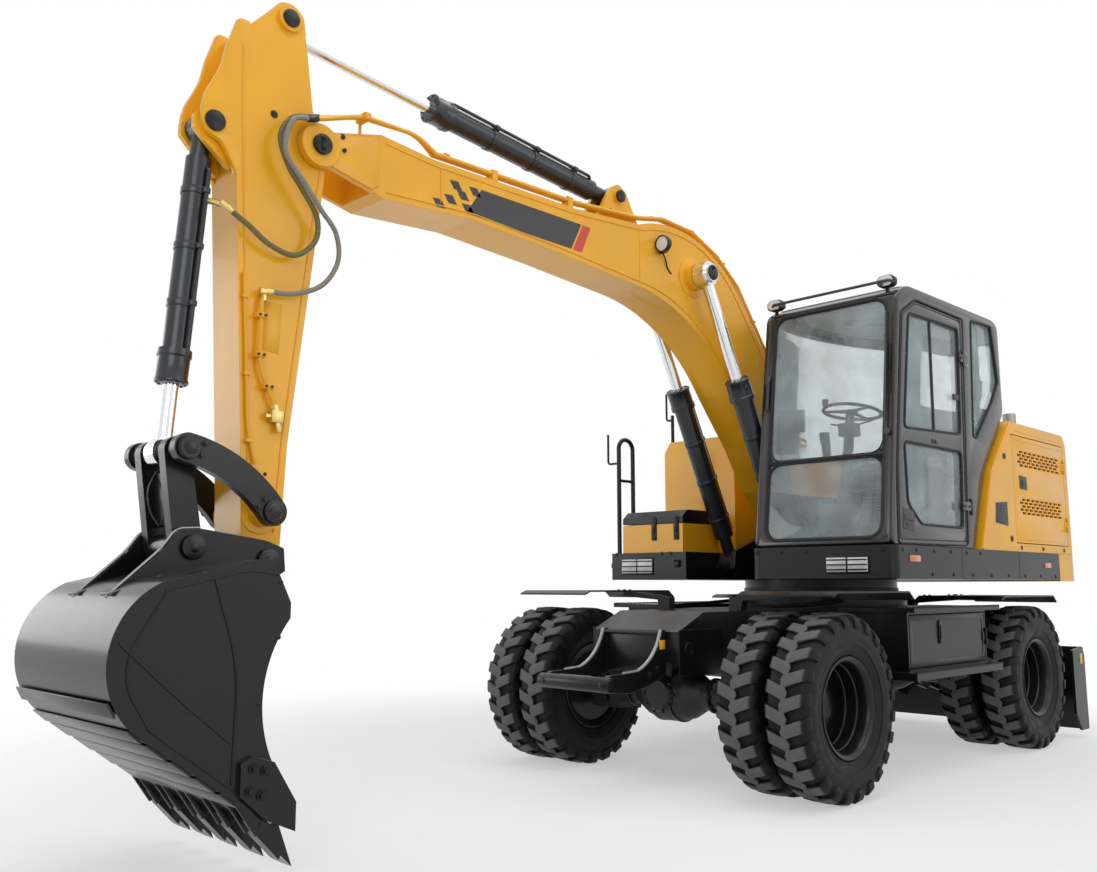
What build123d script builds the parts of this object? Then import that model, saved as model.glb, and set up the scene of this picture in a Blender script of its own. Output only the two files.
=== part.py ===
from build123d import *
from math import atan2, cos, hypot, sin
import os

os.makedirs("parts", exist_ok=True)

# Frame: +X towards the bucket, +Y to the cab's side, +Z up, on the ground
# Every place below is measured from the slew axis, which stands this far behind the row's origin
slew_x = -1640

# Running gaps
touch_gap = 0.3
pin_gap = 0.05
move_gap = 6

# Wheels
tyre_radius = 510
tyre_width = 255
tread_width = 212
twin_spacing = 310
outer_tyre_y = 1090
inner_tyre_y = outer_tyre_y - twin_spacing
rim_radius = 250
rim_wall = 18
rim_flange_radius = 276
rim_flange_width = 12
rim_half_width = 104
bead_radius = rim_radius + touch_gap
bead_half_width = rim_half_width - rim_flange_width - touch_gap
wheel_disc_y = 935
wheel_disc_wall = 22
hub_radius = 112
hub_inner_y = 700
hub_outer_y = 1012
spindle_radius = 45
spindle_end_y = 985
front_axle_x = 1766
rear_axle_x = -954

# Steering knuckles
kingpin_y = 590
kingpin_radius = 28
knuckle_half_height = 88
yoke_wall = 34
yoke_half_length = 62

# Undercarriage
frame_half_width = 330
frame_top = 1010
frame_bottom = 560
frame_arch = 720
frame_front_x = 2150
frame_rear_x = -1250
frame_side_half_width = 470
axle_tube_radius = 82
axle_case_radius = 172
slew_ring_radius = 560
slew_ring_low = 1086
slew_ring_split = 1150

# Front bar
guard_bar_x = 2665
guard_bar_z = 640
guard_bar_radius = 42
guard_bar_half_length = 262
guard_plate_y = 225
guard_plate_wall = 30
tie_down_radius = 26
tie_down_x = 2520
tie_down_z = 770

# Steps, lockers and fenders
step_front_x = 975
step_rear_x = -300
step_outer_y = 1205
step_low = 600
step_high = 1030
locker_outer_y = 1120
locker_inner_y = 500
locker_low = 645
locker_wall = 14
locker_front_x = 900
locker_rear_x = -250
fender_wall = 10
front_fender = (1060, 1890, 1135)
rear_fender = (-1280, -360, 1095)
fender_inner_y = 600
fender_outer_y = 1222

# Dozer blade
blade_pivot_x = -1180
blade_pivot_z = 430
blade_pin_radius = 30
blade_back_x = -1905
blade_low = 60
blade_high = 690
blade_half_width = 1205
blade_arm_y = 255
blade_arm_width = 60
blade_cylinder_y = 120
blade_cylinder_base = (-1300, 960)
blade_cylinder_pin = (-1480, 500)
blade_barrel_radius = 48
blade_rod_radius = 26

# Upper deck
deck_low = 1210
deck_high = 1410
deck_half_width = 1208
cab_deck_front_x = 1180
right_deck_front_x = 985
slot_left_y = 196
slot_right_y = -498
slot_back_x = 60
deck_rear_x = -1495

# Boom, which stands to the right of the slew axis
boom_y = -150
boom_half_width = 150
boom_foot = (60, 1600)
boom_foot_radius = 128
boom_tip = (4434, 3259)
boom_tip_radius = 105
boom_lift_pin = (1507, 3233)
main_pin_radius = 40
foot_plate_wall = 40
foot_plate_gap = 5

# Boom cylinders
lift_base = (543, 1336)
lift_offset_y = 255
lift_eye_half_width = 44
lift_barrel_radius = 70
lift_rod_radius = 40
lift_eye_radius = 82
lift_barrel_length = 1377
lift_gland_length = 150

# Arm and its cylinder
arm_half_width = 118
arm_tip = (4648, 1274)
arm_tip_radius = 92
arm_base = (2181, 3640)
arm_rod_pin = (4606, 3850)
arm_barrel_length = 1485
arm_barrel_radius = 66
arm_rod_radius = 36
arm_eye_radius = 74
arm_eye_half_width = 48

# Bucket, its cylinder and links
crowd_base = (4957, 3223)
rocker_pin = (4659, 1484)
rocker_top = (5062, 1729)
bucket_pin = (4995, 1324)
crowd_barrel_length = 1195
crowd_barrel_radius = 56
crowd_rod_radius = 34
crowd_eye_radius = 64
crowd_eye_half_width = 44
rocker_y = 222
rocker_wall = 46
link_half_width = 150
bucket_half_width = 476
bucket_shell_wall = 22
bucket_side_wall = 24
bucket_ear_y = 168
bucket_ear_wall = 34
tooth_count = 5
tooth_span = 870

# Engine housing and counterweight
hood_half_width = deck_half_width - 8
hood_rear_x = -1820
hood_top = 2360
hood_wall = 26
hood_door_left_x = (-1740, -700)
hood_door_right_x = (-1740, -860)
hood_door_z = (1470, 2270)
hood_split_x = -800
lid_x = (-1690, -830)
lid_y = (-520, 520)
tail_radius = 2160
counterweight_top = 2330

# Cab
cab_right_y = 206
cab_left_y = deck_half_width - 28
cab_wall = 46
cab_floor = deck_high + touch_gap
cab_front_low = (1160, cab_floor)
cab_front_high = (880, 2960)
cab_roof_front = (790, 3030)
cab_roof_rear = (-560, 3045)
cab_rear_high = (-640, 2960)
cab_rear_kink = (-645, 2410)
cab_rear_mid = (-240, 1970)
cab_rear_low = (-20, cab_floor)
glass_wall = 8

# Door and lid hinges
hinge_radius = 8
hinge_pin_radius = 4.5
hinge_sleeve = 60
hinge_reach = 55
hinge_stand = hinge_radius + touch_gap
lid_hinge_radius = 5.5
lid_pin_radius = 3
cab_hinge = (16, cab_left_y + hinge_stand)
cab_hinge_z = (1640, 2200, 2780)
hood_hinge = (-1736, hood_half_width + hinge_stand)
hood_hinge_z = (1640, 2100)
locker_hinge = (-234, locker_outer_y + hinge_stand)
locker_hinge_z = 825
lid_hinge = (-1690, hood_top + 30)
lid_hinge_y = (-300, 300)
box_hinge = (518, 1630)
box_hinge_y = (-980, -690)


def side(y):
    """Upright plane along the machine: local x is forward, local y is up, extrusion goes to -Y."""
    return Plane(origin=(slew_x, y, 0), x_dir=(1, 0, 0), z_dir=(0, -1, 0))


def across(x):
    """Upright plane across the machine: local x is to the left, local y is up, extrusion goes to +X."""
    return Plane(origin=(slew_x + x, 0, 0), x_dir=(0, 1, 0), z_dir=(1, 0, 0))


def level(z):
    """Level plane: local x is forward, local y is to the left, extrusion goes up."""
    return Plane(origin=(slew_x, 0, z))


def disc(at, radius, y_left, y_right, mode=Mode.ADD):
    """Round boss or hole across the machine, between two distances to the left."""
    with BuildSketch(side(y_left)) as face:
        with Locations(at):
            Circle(radius)
    extrude(face.sketch, amount=y_left - y_right, mode=mode)


def plate(points, y_left, y_right, mode=Mode.ADD, round_off=0):
    """Flat plate across the machine with a straight-sided outline and rounded corners."""
    with BuildSketch(side(y_left)) as outline:
        with BuildLine():
            Polyline(*points, close=True)
        make_face()
        if round_off:
            fillet(outline.vertices(), round_off)
    extrude(outline.sketch, amount=y_left - y_right, mode=mode)


def block(x_range, y_range, z_range, mode=Mode.ADD):
    """Straight block between three pairs of limits."""
    with BuildSketch(level(z_range[0])) as face:
        with Locations(((x_range[0] + x_range[1]) / 2, (y_range[0] + y_range[1]) / 2)):
            Rectangle(x_range[1] - x_range[0], y_range[1] - y_range[0])
    extrude(face.sketch, amount=z_range[1] - z_range[0], mode=mode)


def upright_sleeve(x, y, middle, leaf_x, leaf_y):
    """Door's half of an upright hinge: a sleeve with a leaf towards the door."""
    block(leaf_x, leaf_y, (middle - hinge_sleeve / 2, middle + hinge_sleeve / 2))
    with BuildSketch(level(middle - hinge_sleeve / 2)) as ring:
        with Locations((x, y)):
            Circle(hinge_radius)
    extrude(ring.sketch, amount=hinge_sleeve)
    with BuildSketch(level(middle - hinge_sleeve / 2)) as hole:
        with Locations((x, y)):
            Circle(hinge_pin_radius + pin_gap)
    extrude(hole.sketch, amount=hinge_sleeve, mode=Mode.SUBTRACT)


def upright_pin(x, y, middle, leaf_x, leaf_y):
    """Frame's half of an upright hinge: a pin between two knuckles with leaves towards the frame."""
    with BuildSketch(level(middle - hinge_reach)) as pin:
        with Locations((x, y)):
            Circle(hinge_pin_radius)
    extrude(pin.sketch, amount=2 * hinge_reach)
    for low in (middle - hinge_reach, middle + hinge_sleeve / 2 + touch_gap):
        high = low + hinge_reach - hinge_sleeve / 2 - touch_gap
        block(leaf_x, leaf_y, (low, high))
        with BuildSketch(level(low)) as knuckle_ring:
            with Locations((x, y)):
                Circle(hinge_radius)
        extrude(knuckle_ring.sketch, amount=high - low)


def level_sleeve(at, middle, leaf_x, leaf_z):
    """Lid's half of a level hinge across the machine."""
    left, right = middle + hinge_sleeve / 2, middle - hinge_sleeve / 2
    block(leaf_x, (right, left), leaf_z)
    disc(at, lid_hinge_radius, left, right)
    disc(at, lid_pin_radius + pin_gap, left, right, Mode.SUBTRACT)


def level_pin(at, middle, leaf_x, leaf_z):
    """Frame's half of a level hinge across the machine."""
    disc(at, lid_pin_radius, middle + hinge_reach, middle - hinge_reach)
    for right in (middle - hinge_reach, middle + hinge_sleeve / 2 + touch_gap):
        left = right + hinge_reach - hinge_sleeve / 2 - touch_gap
        block(leaf_x, (right, left), leaf_z)
        disc(at, lid_hinge_radius, left, right)


def save(piece, name):
    """Name a finished piece and write its file."""
    piece.part.label = name
    export_step(piece.part, f"parts/{name}.step")


# Chassis frame: a box beam, wide under the slew ring and arched over both axles
with BuildPart() as chassis_frame:
    frame_outline = [
        (frame_rear_x, 640),
        (frame_rear_x, 960),
        (-960, frame_top),
        (1900, frame_top),
        (frame_front_x, 900),
        (frame_front_x, frame_arch),
        (1400, frame_arch),
        (1150, frame_bottom),
        (-350, frame_bottom),
        (-640, frame_arch - 20),
        (-1090, frame_arch - 20),
    ]
    plate(frame_outline, frame_half_width, -frame_half_width)
    block((-480, 1100), (-frame_side_half_width, frame_side_half_width), (600, frame_top))
    with BuildSketch(level(frame_top)):
        Circle(slew_ring_radius + 55)
    extrude(amount=slew_ring_low - touch_gap - frame_top)
    for ear_y in (blade_arm_y, -blade_arm_y):
        for edge in (1, -1):
            inner = ear_y + edge * (blade_arm_width / 2 + move_gap)
            outer = inner + edge * 26
            ear = [(-1090, 700), (-1090, 380), (-1240, 340), (-1262, 480), (-1245, 700)]
            plate(ear, max(inner, outer), min(inner, outer))
        for edge in (1, -1):
            disc((blade_pivot_x, blade_pivot_z), blade_pin_radius, ear_y + 70, ear_y - 70)
    for ear_y in (blade_cylinder_y, -blade_cylinder_y):
        for edge in (1, -1):
            inner = ear_y + edge * 40
            outer = inner + edge * 22
            top_ear = [(-1250, 880), (-1250, 1000), (-1300, 1004), (-1344, 975), (-1340, 935), (-1300, 914)]
            plate(top_ear, max(inner, outer), min(inner, outer))
        disc(blade_cylinder_base, 20, ear_y + 62, ear_y - 62)
save(chassis_frame, "chassis_frame")

# Front bar and its two curved carrier plates
with BuildPart() as front_guard:
    for edge in (1, -1):
        near = edge * (guard_plate_y - guard_plate_wall / 2)
        far = edge * (guard_plate_y + guard_plate_wall / 2)
        left = max(near, far)
        right = min(near, far)
        with BuildSketch(side(left)) as carrier:
            with BuildLine():
                Polyline(
                    (frame_front_x + touch_gap, 640),
                    (frame_front_x + touch_gap, 930),
                    (2330, 915),
                    (2600, 800),
                    (guard_bar_x + 55, 665),
                    (guard_bar_x + 55, 590),
                    (2560, 570),
                    (2380, 690),
                    (2250, 650),
                    close=True,
                )
            make_face()
            fillet(carrier.vertices().group_by(Axis.X)[-1], 40)
        extrude(amount=left - right)
        disc((tie_down_x, tie_down_z), tie_down_radius, left, right, Mode.SUBTRACT)
    disc((guard_bar_x, guard_bar_z), guard_bar_radius, guard_bar_half_length, -guard_bar_half_length)
    block((frame_front_x + touch_gap, frame_front_x + 24), (-240, 240), (660, 925))
save(front_guard, "front_guard")

# Slewing ring on the frame
with BuildPart() as slew_ring:
    with BuildSketch(level(slew_ring_low)):
        Circle(slew_ring_radius)
        Circle(slew_ring_radius - 110, mode=Mode.SUBTRACT)
    extrude(amount=slew_ring_split - slew_ring_low)
save(slew_ring, "slew_ring")


def axle_beam(axle_x, tube_end_y):
    """Axle housing: a round case, tapered into two tubes."""
    centre = Plane(origin=(slew_x + axle_x, 0, tyre_radius), x_dir=(0, 1, 0), z_dir=(1, 0, 0))
    with BuildSketch(centre) as half:
        with BuildLine():
            Polyline(
                (-tube_end_y, 0),
                (-tube_end_y, axle_tube_radius),
                (-250, axle_tube_radius + 8),
                (-150, axle_case_radius - 25),
                (-60, axle_case_radius),
                (60, axle_case_radius),
                (150, axle_case_radius - 25),
                (250, axle_tube_radius + 8),
                (tube_end_y, axle_tube_radius),
                (tube_end_y, 0),
                close=True,
            )
        make_face()
    revolve(half.sketch, axis=Axis((slew_x + axle_x, 0, tyre_radius), (0, 1, 0)))


# Front axle: it rocks on a pin under the frame and ends in two yokes
with BuildPart() as front_axle:
    axle_beam(front_axle_x, 430)
    block((front_axle_x - 150, front_axle_x + 150), (-90, 90), (620, frame_arch - touch_gap))
    for edge in (1, -1):
        yoke = sorted((edge * 400, edge * (kingpin_y + 55)))
        for bottom in (
            tyre_radius + knuckle_half_height + touch_gap,
            tyre_radius - knuckle_half_height - touch_gap - yoke_wall,
        ):
            block(
                (front_axle_x - yoke_half_length, front_axle_x + yoke_half_length),
                yoke,
                (bottom, bottom + yoke_wall),
            )
        cheek = sorted((edge * 400, edge * (kingpin_y - 95)))
        block(
            (front_axle_x - yoke_half_length, front_axle_x + yoke_half_length),
            cheek,
            (tyre_radius - knuckle_half_height - yoke_wall, tyre_radius + knuckle_half_height + yoke_wall),
        )
        with BuildSketch(level(tyre_radius - knuckle_half_height - yoke_wall - 8)):
            with Locations((front_axle_x, edge * kingpin_y)):
                Circle(kingpin_radius)
        extrude(amount=2 * (knuckle_half_height + yoke_wall + 8))
save(front_axle, "front_axle")

# Rear axle, fixed under the frame, with a spindle for each twin wheel
with BuildPart() as rear_axle:
    axle_beam(rear_axle_x, 640)
    for edge in (1, -1):
        ends = sorted((edge * 600, edge * spindle_end_y))
        disc((rear_axle_x, tyre_radius), spindle_radius, ends[1], ends[0])
        seat_y = sorted((edge * 240, edge * 320))
        block((rear_axle_x - 90, rear_axle_x + 90), seat_y, (540, frame_arch - 20 - touch_gap))
save(rear_axle, "rear_axle")

# Gearbox on the rear axle and the shafts to both axles
with BuildPart() as driveline:
    gearbox_rear = rear_axle_x + axle_case_radius + touch_gap
    gearbox = [(-600, 330), (gearbox_rear, 380), (gearbox_rear, 640), (-640, 680), (-430, 540), (-430, 400)]
    plate(gearbox, 150, -150, round_off=30)
    shaft_line = Plane(origin=(slew_x - 430, 0, 470), x_dir=(0, 1, 0), z_dir=(1, 0, 0.02))
    with BuildSketch(shaft_line):
        Circle(38)
    extrude(amount=front_axle_x - axle_case_radius - touch_gap + 430)
save(driveline, "driveline")


def knuckle(edge):
    """Steering knuckle: a block on the kingpin with the wheel's spindle."""
    with BuildPart() as piece:
        limits = sorted((edge * (kingpin_y - 60), edge * (kingpin_y + 60)))
        block(
            (front_axle_x - 58, front_axle_x + 58),
            limits,
            (tyre_radius - knuckle_half_height, tyre_radius + knuckle_half_height),
        )
        ends = sorted((edge * (kingpin_y + 50), edge * spindle_end_y))
        disc((front_axle_x, tyre_radius), spindle_radius, ends[1], ends[0])
        arm_limits = sorted((edge * (kingpin_y - 38), edge * (kingpin_y + 20)))
        block((front_axle_x - 240, front_axle_x - 40), arm_limits, (tyre_radius - 24, tyre_radius + 24))
        with BuildSketch(level(tyre_radius - knuckle_half_height)):
            with Locations((front_axle_x, edge * kingpin_y)):
                Circle(kingpin_radius + pin_gap)
        extrude(amount=2 * knuckle_half_height, mode=Mode.SUBTRACT)
    return piece


for edge, hand in ((1, "left"), (-1, "right")):
    save(knuckle(edge), f"knuckle_{hand}")


def tyre_pair(axle_x, edge):
    """Two tyres side by side on one hub."""
    with BuildPart() as piece:
        for tyre_y in (edge * inner_tyre_y, edge * outer_tyre_y):
            section = Plane(origin=(slew_x + axle_x, tyre_y, tyre_radius), x_dir=(0, 1, 0), z_dir=(1, 0, 0))
            with BuildSketch(section):
                with BuildLine():
                    Polyline(
                        (-bead_half_width, bead_radius),
                        (-bead_half_width, rim_flange_radius + 4),
                        (-tyre_width / 2 + 8, 325),
                        (-tyre_width / 2, 400),
                        (-tread_width / 2 - 8, 475),
                        (-tread_width / 2, tyre_radius),
                        (tread_width / 2, tyre_radius),
                        (tread_width / 2 + 8, 475),
                        (tyre_width / 2, 400),
                        (tyre_width / 2 - 8, 325),
                        (bead_half_width, rim_flange_radius + 4),
                        (bead_half_width, bead_radius),
                        close=True,
                    )
                make_face()
            revolve(axis=Axis((slew_x + axle_x, 0, tyre_radius), (0, 1, 0)))
    return piece


def rim_pair(axle_x, edge):
    """Both rims of a twin wheel with their disc and the hub."""
    with BuildPart() as piece:
        low = inner_tyre_y - rim_half_width
        high = outer_tyre_y + rim_half_width
        centre = (axle_x, tyre_radius)

        def ring(outer, inner, y_from, y_to):
            ends = sorted((edge * y_from, edge * y_to))
            with BuildSketch(side(ends[1])) as face:
                with Locations(centre):
                    Circle(outer)
                    if inner:
                        Circle(inner, mode=Mode.SUBTRACT)
            extrude(face.sketch, amount=ends[1] - ends[0])

        ring(rim_radius, rim_radius - rim_wall, low, high)
        for tyre_y in (inner_tyre_y, outer_tyre_y):
            for flange in (tyre_y - rim_half_width, tyre_y + rim_half_width - rim_flange_width):
                ring(rim_flange_radius, rim_radius - rim_wall, flange, flange + rim_flange_width)
        ring(rim_radius - rim_wall + 2, hub_radius - 2, wheel_disc_y - wheel_disc_wall, wheel_disc_y)
        ring(hub_radius, 0, hub_inner_y, hub_outer_y)
        bore = sorted((edge * hub_inner_y, edge * (spindle_end_y + 5)))
        disc(centre, spindle_radius + pin_gap, bore[1], bore[0], Mode.SUBTRACT)
    return piece


wheels = (
    ("front_left", front_axle_x, 1),
    ("front_right", front_axle_x, -1),
    ("rear_left", rear_axle_x, 1),
    ("rear_right", rear_axle_x, -1),
)
for corner, axle_x, edge in wheels:
    save(tyre_pair(axle_x, edge), f"tyres_{corner}")
    save(rim_pair(axle_x, edge), f"rims_{corner}")

# Fenders over the four twin wheels, each bent down at its outer ends
with BuildPart() as fenders:
    for front, edge in ((True, 1), (True, -1), (False, 1), (False, -1)):
        rear_x, front_x, top = front_fender if front else rear_fender
        limits = sorted((edge * fender_inner_y, edge * fender_outer_y))
        outline = [
            (rear_x - 60, top - 45),
            (rear_x, top),
            (front_x, top),
            (front_x + 50, top - 20),
            (front_x + 50, top - 20 - fender_wall),
            (front_x, top - fender_wall),
            (rear_x, top - fender_wall),
            (rear_x - 60, top - 45 - fender_wall),
        ]
        plate(outline, limits[1], limits[0])
    for bracket_x, top in ((1450, front_fender[2]), (-900, rear_fender[2])):
        for edge in (1, -1):
            with BuildSketch(across(bracket_x)):
                with BuildLine():
                    Polyline(
                        (edge * 240, frame_top + touch_gap),
                        (edge * 325, frame_top + touch_gap),
                        (edge * 340, top - 62),
                        (edge * 640, top - 40),
                        (edge * 640, top - fender_wall),
                        (edge * 560, top - fender_wall),
                        (edge * 300, top - 36),
                        (edge * 240, top - 46),
                        close=True,
                    )
                make_face()
            extrude(amount=60)
save(fenders, "fenders")

# Steps with a locker between them on each side
with BuildPart() as side_steps:
    for edge in (1, -1):
        shell = sorted((edge * locker_inner_y, edge * locker_outer_y))
        cavity = sorted((edge * (locker_inner_y + locker_wall), edge * (locker_outer_y + 1)))
        block((locker_rear_x, locker_front_x), shell, (locker_low, step_high - 26))
        block(
            (locker_rear_x + locker_wall, locker_front_x - locker_wall),
            cavity,
            (locker_low + locker_wall, step_high - 26 - locker_wall),
            Mode.SUBTRACT,
        )
        low_tread = sorted((edge * 700, edge * step_outer_y))
        block((step_rear_x, step_front_x), low_tread, (step_low, locker_low))
        high_tread = sorted((edge * 700, edge * step_outer_y))
        block((step_rear_x, step_front_x), high_tread, (step_high - 26, step_high))
        bracket = sorted((edge * (frame_side_half_width + touch_gap), edge * locker_inner_y))
        for x in (0, 600):
            block((x, x + 90), bracket, (700, 950))
        leaf_y = sorted((edge * (locker_outer_y - 2), edge * (locker_outer_y + 6)))
        leaf_x = (locker_rear_x + 2, locker_hinge[0])
        upright_pin(locker_hinge[0], edge * locker_hinge[1], locker_hinge_z, leaf_x, leaf_y)
save(side_steps, "side_steps")

for edge, hand in ((1, "left"), (-1, "right")):
    with BuildPart() as locker_door:
        limits = sorted((edge * (locker_outer_y - locker_wall), edge * (locker_outer_y - 2)))
        block(
            (locker_rear_x + locker_wall + move_gap, locker_front_x - locker_wall - move_gap),
            limits,
            (locker_low + locker_wall + move_gap, step_high - 26 - locker_wall - move_gap),
        )
        leaf_y = sorted((edge * (locker_outer_y - 6), edge * (locker_outer_y + 5)))
        upright_sleeve(
            locker_hinge[0], edge * locker_hinge[1], locker_hinge_z, (locker_hinge[0], -190), leaf_y
        )
    save(locker_door, f"locker_door_{hand}")

# Dozer blade: a curved mouldboard with end plates and two push arms
with BuildPart() as blade:
    with BuildSketch(side(blade_half_width)):
        with BuildLine():
            mould = ThreePointArc(
                (blade_back_x, blade_low), (blade_back_x + 110, 370), (blade_back_x + 30, blade_high)
            )
            Line(mould @ 1, (blade_back_x + 62, blade_high))
            ThreePointArc(
                (blade_back_x + 62, blade_high), (blade_back_x + 142, 370), (blade_back_x + 62, blade_low)
            )
            Line((blade_back_x + 62, blade_low), mould @ 0)
        make_face()
    extrude(amount=2 * blade_half_width)
    for edge in (1, -1):
        ends = sorted((edge * blade_half_width, edge * (blade_half_width - 20)))
        cheek = [
            (blade_back_x, blade_low),
            (blade_back_x, blade_low + 560),
            (blade_back_x + 30, blade_high),
            (blade_back_x + 250, blade_high - 20),
            (blade_back_x + 250, blade_low + 130),
            (blade_back_x + 150, blade_low),
        ]
        plate(cheek, ends[1], ends[0])
        arm_y = edge * blade_arm_y
        push_arm = [
            (blade_pivot_x + 62, blade_pivot_z + 20),
            (blade_pivot_x + 20, blade_pivot_z + 62),
            (blade_pivot_x - 60, blade_pivot_z + 62),
            (blade_back_x + 120, 520),
            (blade_back_x + 120, 220),
            (blade_pivot_x - 40, blade_pivot_z - 62),
            (blade_pivot_x + 40, blade_pivot_z - 50),
        ]
        plate(push_arm, arm_y + blade_arm_width / 2, arm_y - blade_arm_width / 2)
        disc(
            (blade_pivot_x, blade_pivot_z), blade_pin_radius + pin_gap,
            arm_y + blade_arm_width / 2, arm_y - blade_arm_width / 2, Mode.SUBTRACT,
        )
        lug_y = edge * blade_cylinder_y
        for lug_edge in (1, -1):
            lug_ends = sorted((lug_y + lug_edge * 36, lug_y + lug_edge * 56))
            lug = [(-1545, 385), (-1415, 385), (-1440, 510), (-1480, 540), (-1520, 510)]
            plate(lug, lug_ends[1], lug_ends[0])
    block((-1560, -1400), (-blade_arm_y, blade_arm_y), (375, 430))
save(blade, "blade")


def unit(start, end):
    """Length and direction from one point to another."""
    length = hypot(end[0] - start[0], end[1] - start[1])
    return length, (end[0] - start[0]) / length, (end[1] - start[1]) / length


def rod_between(start, end, y, radius, mode=Mode.ADD):
    """Round bar in the upright plane at this distance to the left."""
    length, dx, dz = unit(start, end)
    start_plane = Plane(origin=(slew_x + start[0], y, start[1]), x_dir=(0, 1, 0), z_dir=(dx, 0, dz))
    with BuildSketch(start_plane) as face:
        Circle(radius)
    extrude(face.sketch, amount=length, mode=mode)


def along(start, end, distance):
    """Point on the line from start to end, at this distance from start."""
    _, dx, dz = unit(start, end)
    return start[0] + dx * distance, start[1] + dz * distance


def barrel(base, pin, y, radius, length, eye_radius, eye_half_width, gland, pin_hole, neck):
    """Cylinder barrel with its base eye on a neck between the ears, and a gland at the other end."""
    disc(base, eye_radius, y + eye_half_width, y - eye_half_width)
    rod_between(along(base, pin, eye_radius * 0.5), along(base, pin, neck + 5), y, eye_half_width - 1)
    rod_between(along(base, pin, neck), along(base, pin, length - gland), y, radius)
    rod_between(along(base, pin, length - gland), along(base, pin, length), y, radius + 10)
    disc(base, pin_hole + pin_gap, y + eye_half_width, y - eye_half_width, Mode.SUBTRACT)


def bore(base, pin, y, radius, length, floor):
    """Bore of a barrel, open at its gland."""
    rod_between(along(base, pin, floor), along(base, pin, length + 1), y, radius, Mode.SUBTRACT)


with BuildPart() as blade_cylinder_barrels:
    for y in (blade_cylinder_y, -blade_cylinder_y):
        barrel(blade_cylinder_base, blade_cylinder_pin, y, blade_barrel_radius, 280, 40, 34, 40, 20, 95)
        bore(blade_cylinder_base, blade_cylinder_pin, y, blade_rod_radius + pin_gap, 280, 45)
save(blade_cylinder_barrels, "blade_cylinder_barrels")

with BuildPart() as blade_cylinder_rods:
    for y in (blade_cylinder_y, -blade_cylinder_y):
        rod_between(
            along(blade_cylinder_base, blade_cylinder_pin, 205), blade_cylinder_pin, y, blade_rod_radius
        )
        disc(blade_cylinder_pin, 36, y + 30, y - 30)
save(blade_cylinder_rods, "blade_cylinder_rods")

# Upper platform: the deck, its slewing ring and the boom's foot plates
with BuildPart() as platform:
    with BuildSketch(level(deck_low)) as deck:
        with BuildLine():
            Polyline(
                (cab_deck_front_x, deck_half_width),
                (cab_deck_front_x, slot_left_y),
                (slot_back_x, slot_left_y),
                (slot_back_x, slot_right_y),
                (right_deck_front_x, slot_right_y),
                (right_deck_front_x, -deck_half_width),
                (deck_rear_x, -deck_half_width),
                (deck_rear_x, deck_half_width),
                close=True,
            )
        make_face()
        fillet(deck.vertices().group_by(Axis.X)[-1], 45)
    extrude(amount=deck_high - deck_low)
    with BuildSketch(level(slew_ring_split + touch_gap)):
        Circle(slew_ring_radius - 8)
    extrude(amount=deck_low - slew_ring_split - touch_gap)
    for edge in (1, -1):
        inner = boom_y + edge * (boom_half_width + foot_plate_gap)
        outer = inner + edge * foot_plate_wall
        foot_plate = [
            (-620, deck_low),
            (-620, deck_high + 30),
            (-140, 1700),
            (40, 1745),
            (190, 1690),
            (330, 1520),
            (640, 1420),
            (660, 1290),
            (600, deck_low),
        ]
        plate(foot_plate, max(inner, outer), min(inner, outer), round_off=18)
        eye_out = boom_y + edge * (lift_offset_y + lift_eye_half_width + 4)
        far = eye_out + edge * 26
        outer_ear = [(60, deck_low), (60, 1380), (500, 1430), (600, 1400), (640, 1300), (590, deck_low)]
        plate(outer_ear, max(eye_out, far), min(eye_out, far), round_off=14)
        disc(lift_base, main_pin_radius - 4, max(outer, far), min(outer, far))
    disc(boom_foot, main_pin_radius, boom_y + boom_half_width + 55, boom_y - boom_half_width - 55)
save(platform, "platform")

# Counterweight, rounded to the swing radius
with BuildPart() as counterweight:
    with BuildSketch(level(deck_low - 10)):
        Circle(tail_radius)
        with Locations((deck_rear_x + 3000 - touch_gap, 0)):
            Rectangle(6000, 6000, mode=Mode.SUBTRACT)
        with Locations((-1000, 0)):
            Rectangle(4000, 2 * deck_half_width, mode=Mode.INTERSECT)
    extrude(amount=deck_high - deck_low + 10)
    with BuildSketch(level(deck_high)):
        Circle(tail_radius)
        with Locations((hood_rear_x + 3000 - touch_gap, 0)):
            Rectangle(6000, 6000, mode=Mode.SUBTRACT)
        with Locations((-1000, 0)):
            Rectangle(4000, 2 * hood_half_width, mode=Mode.INTERSECT)
    extrude(amount=counterweight_top - deck_high, taper=2)
save(counterweight, "counterweight")

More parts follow.
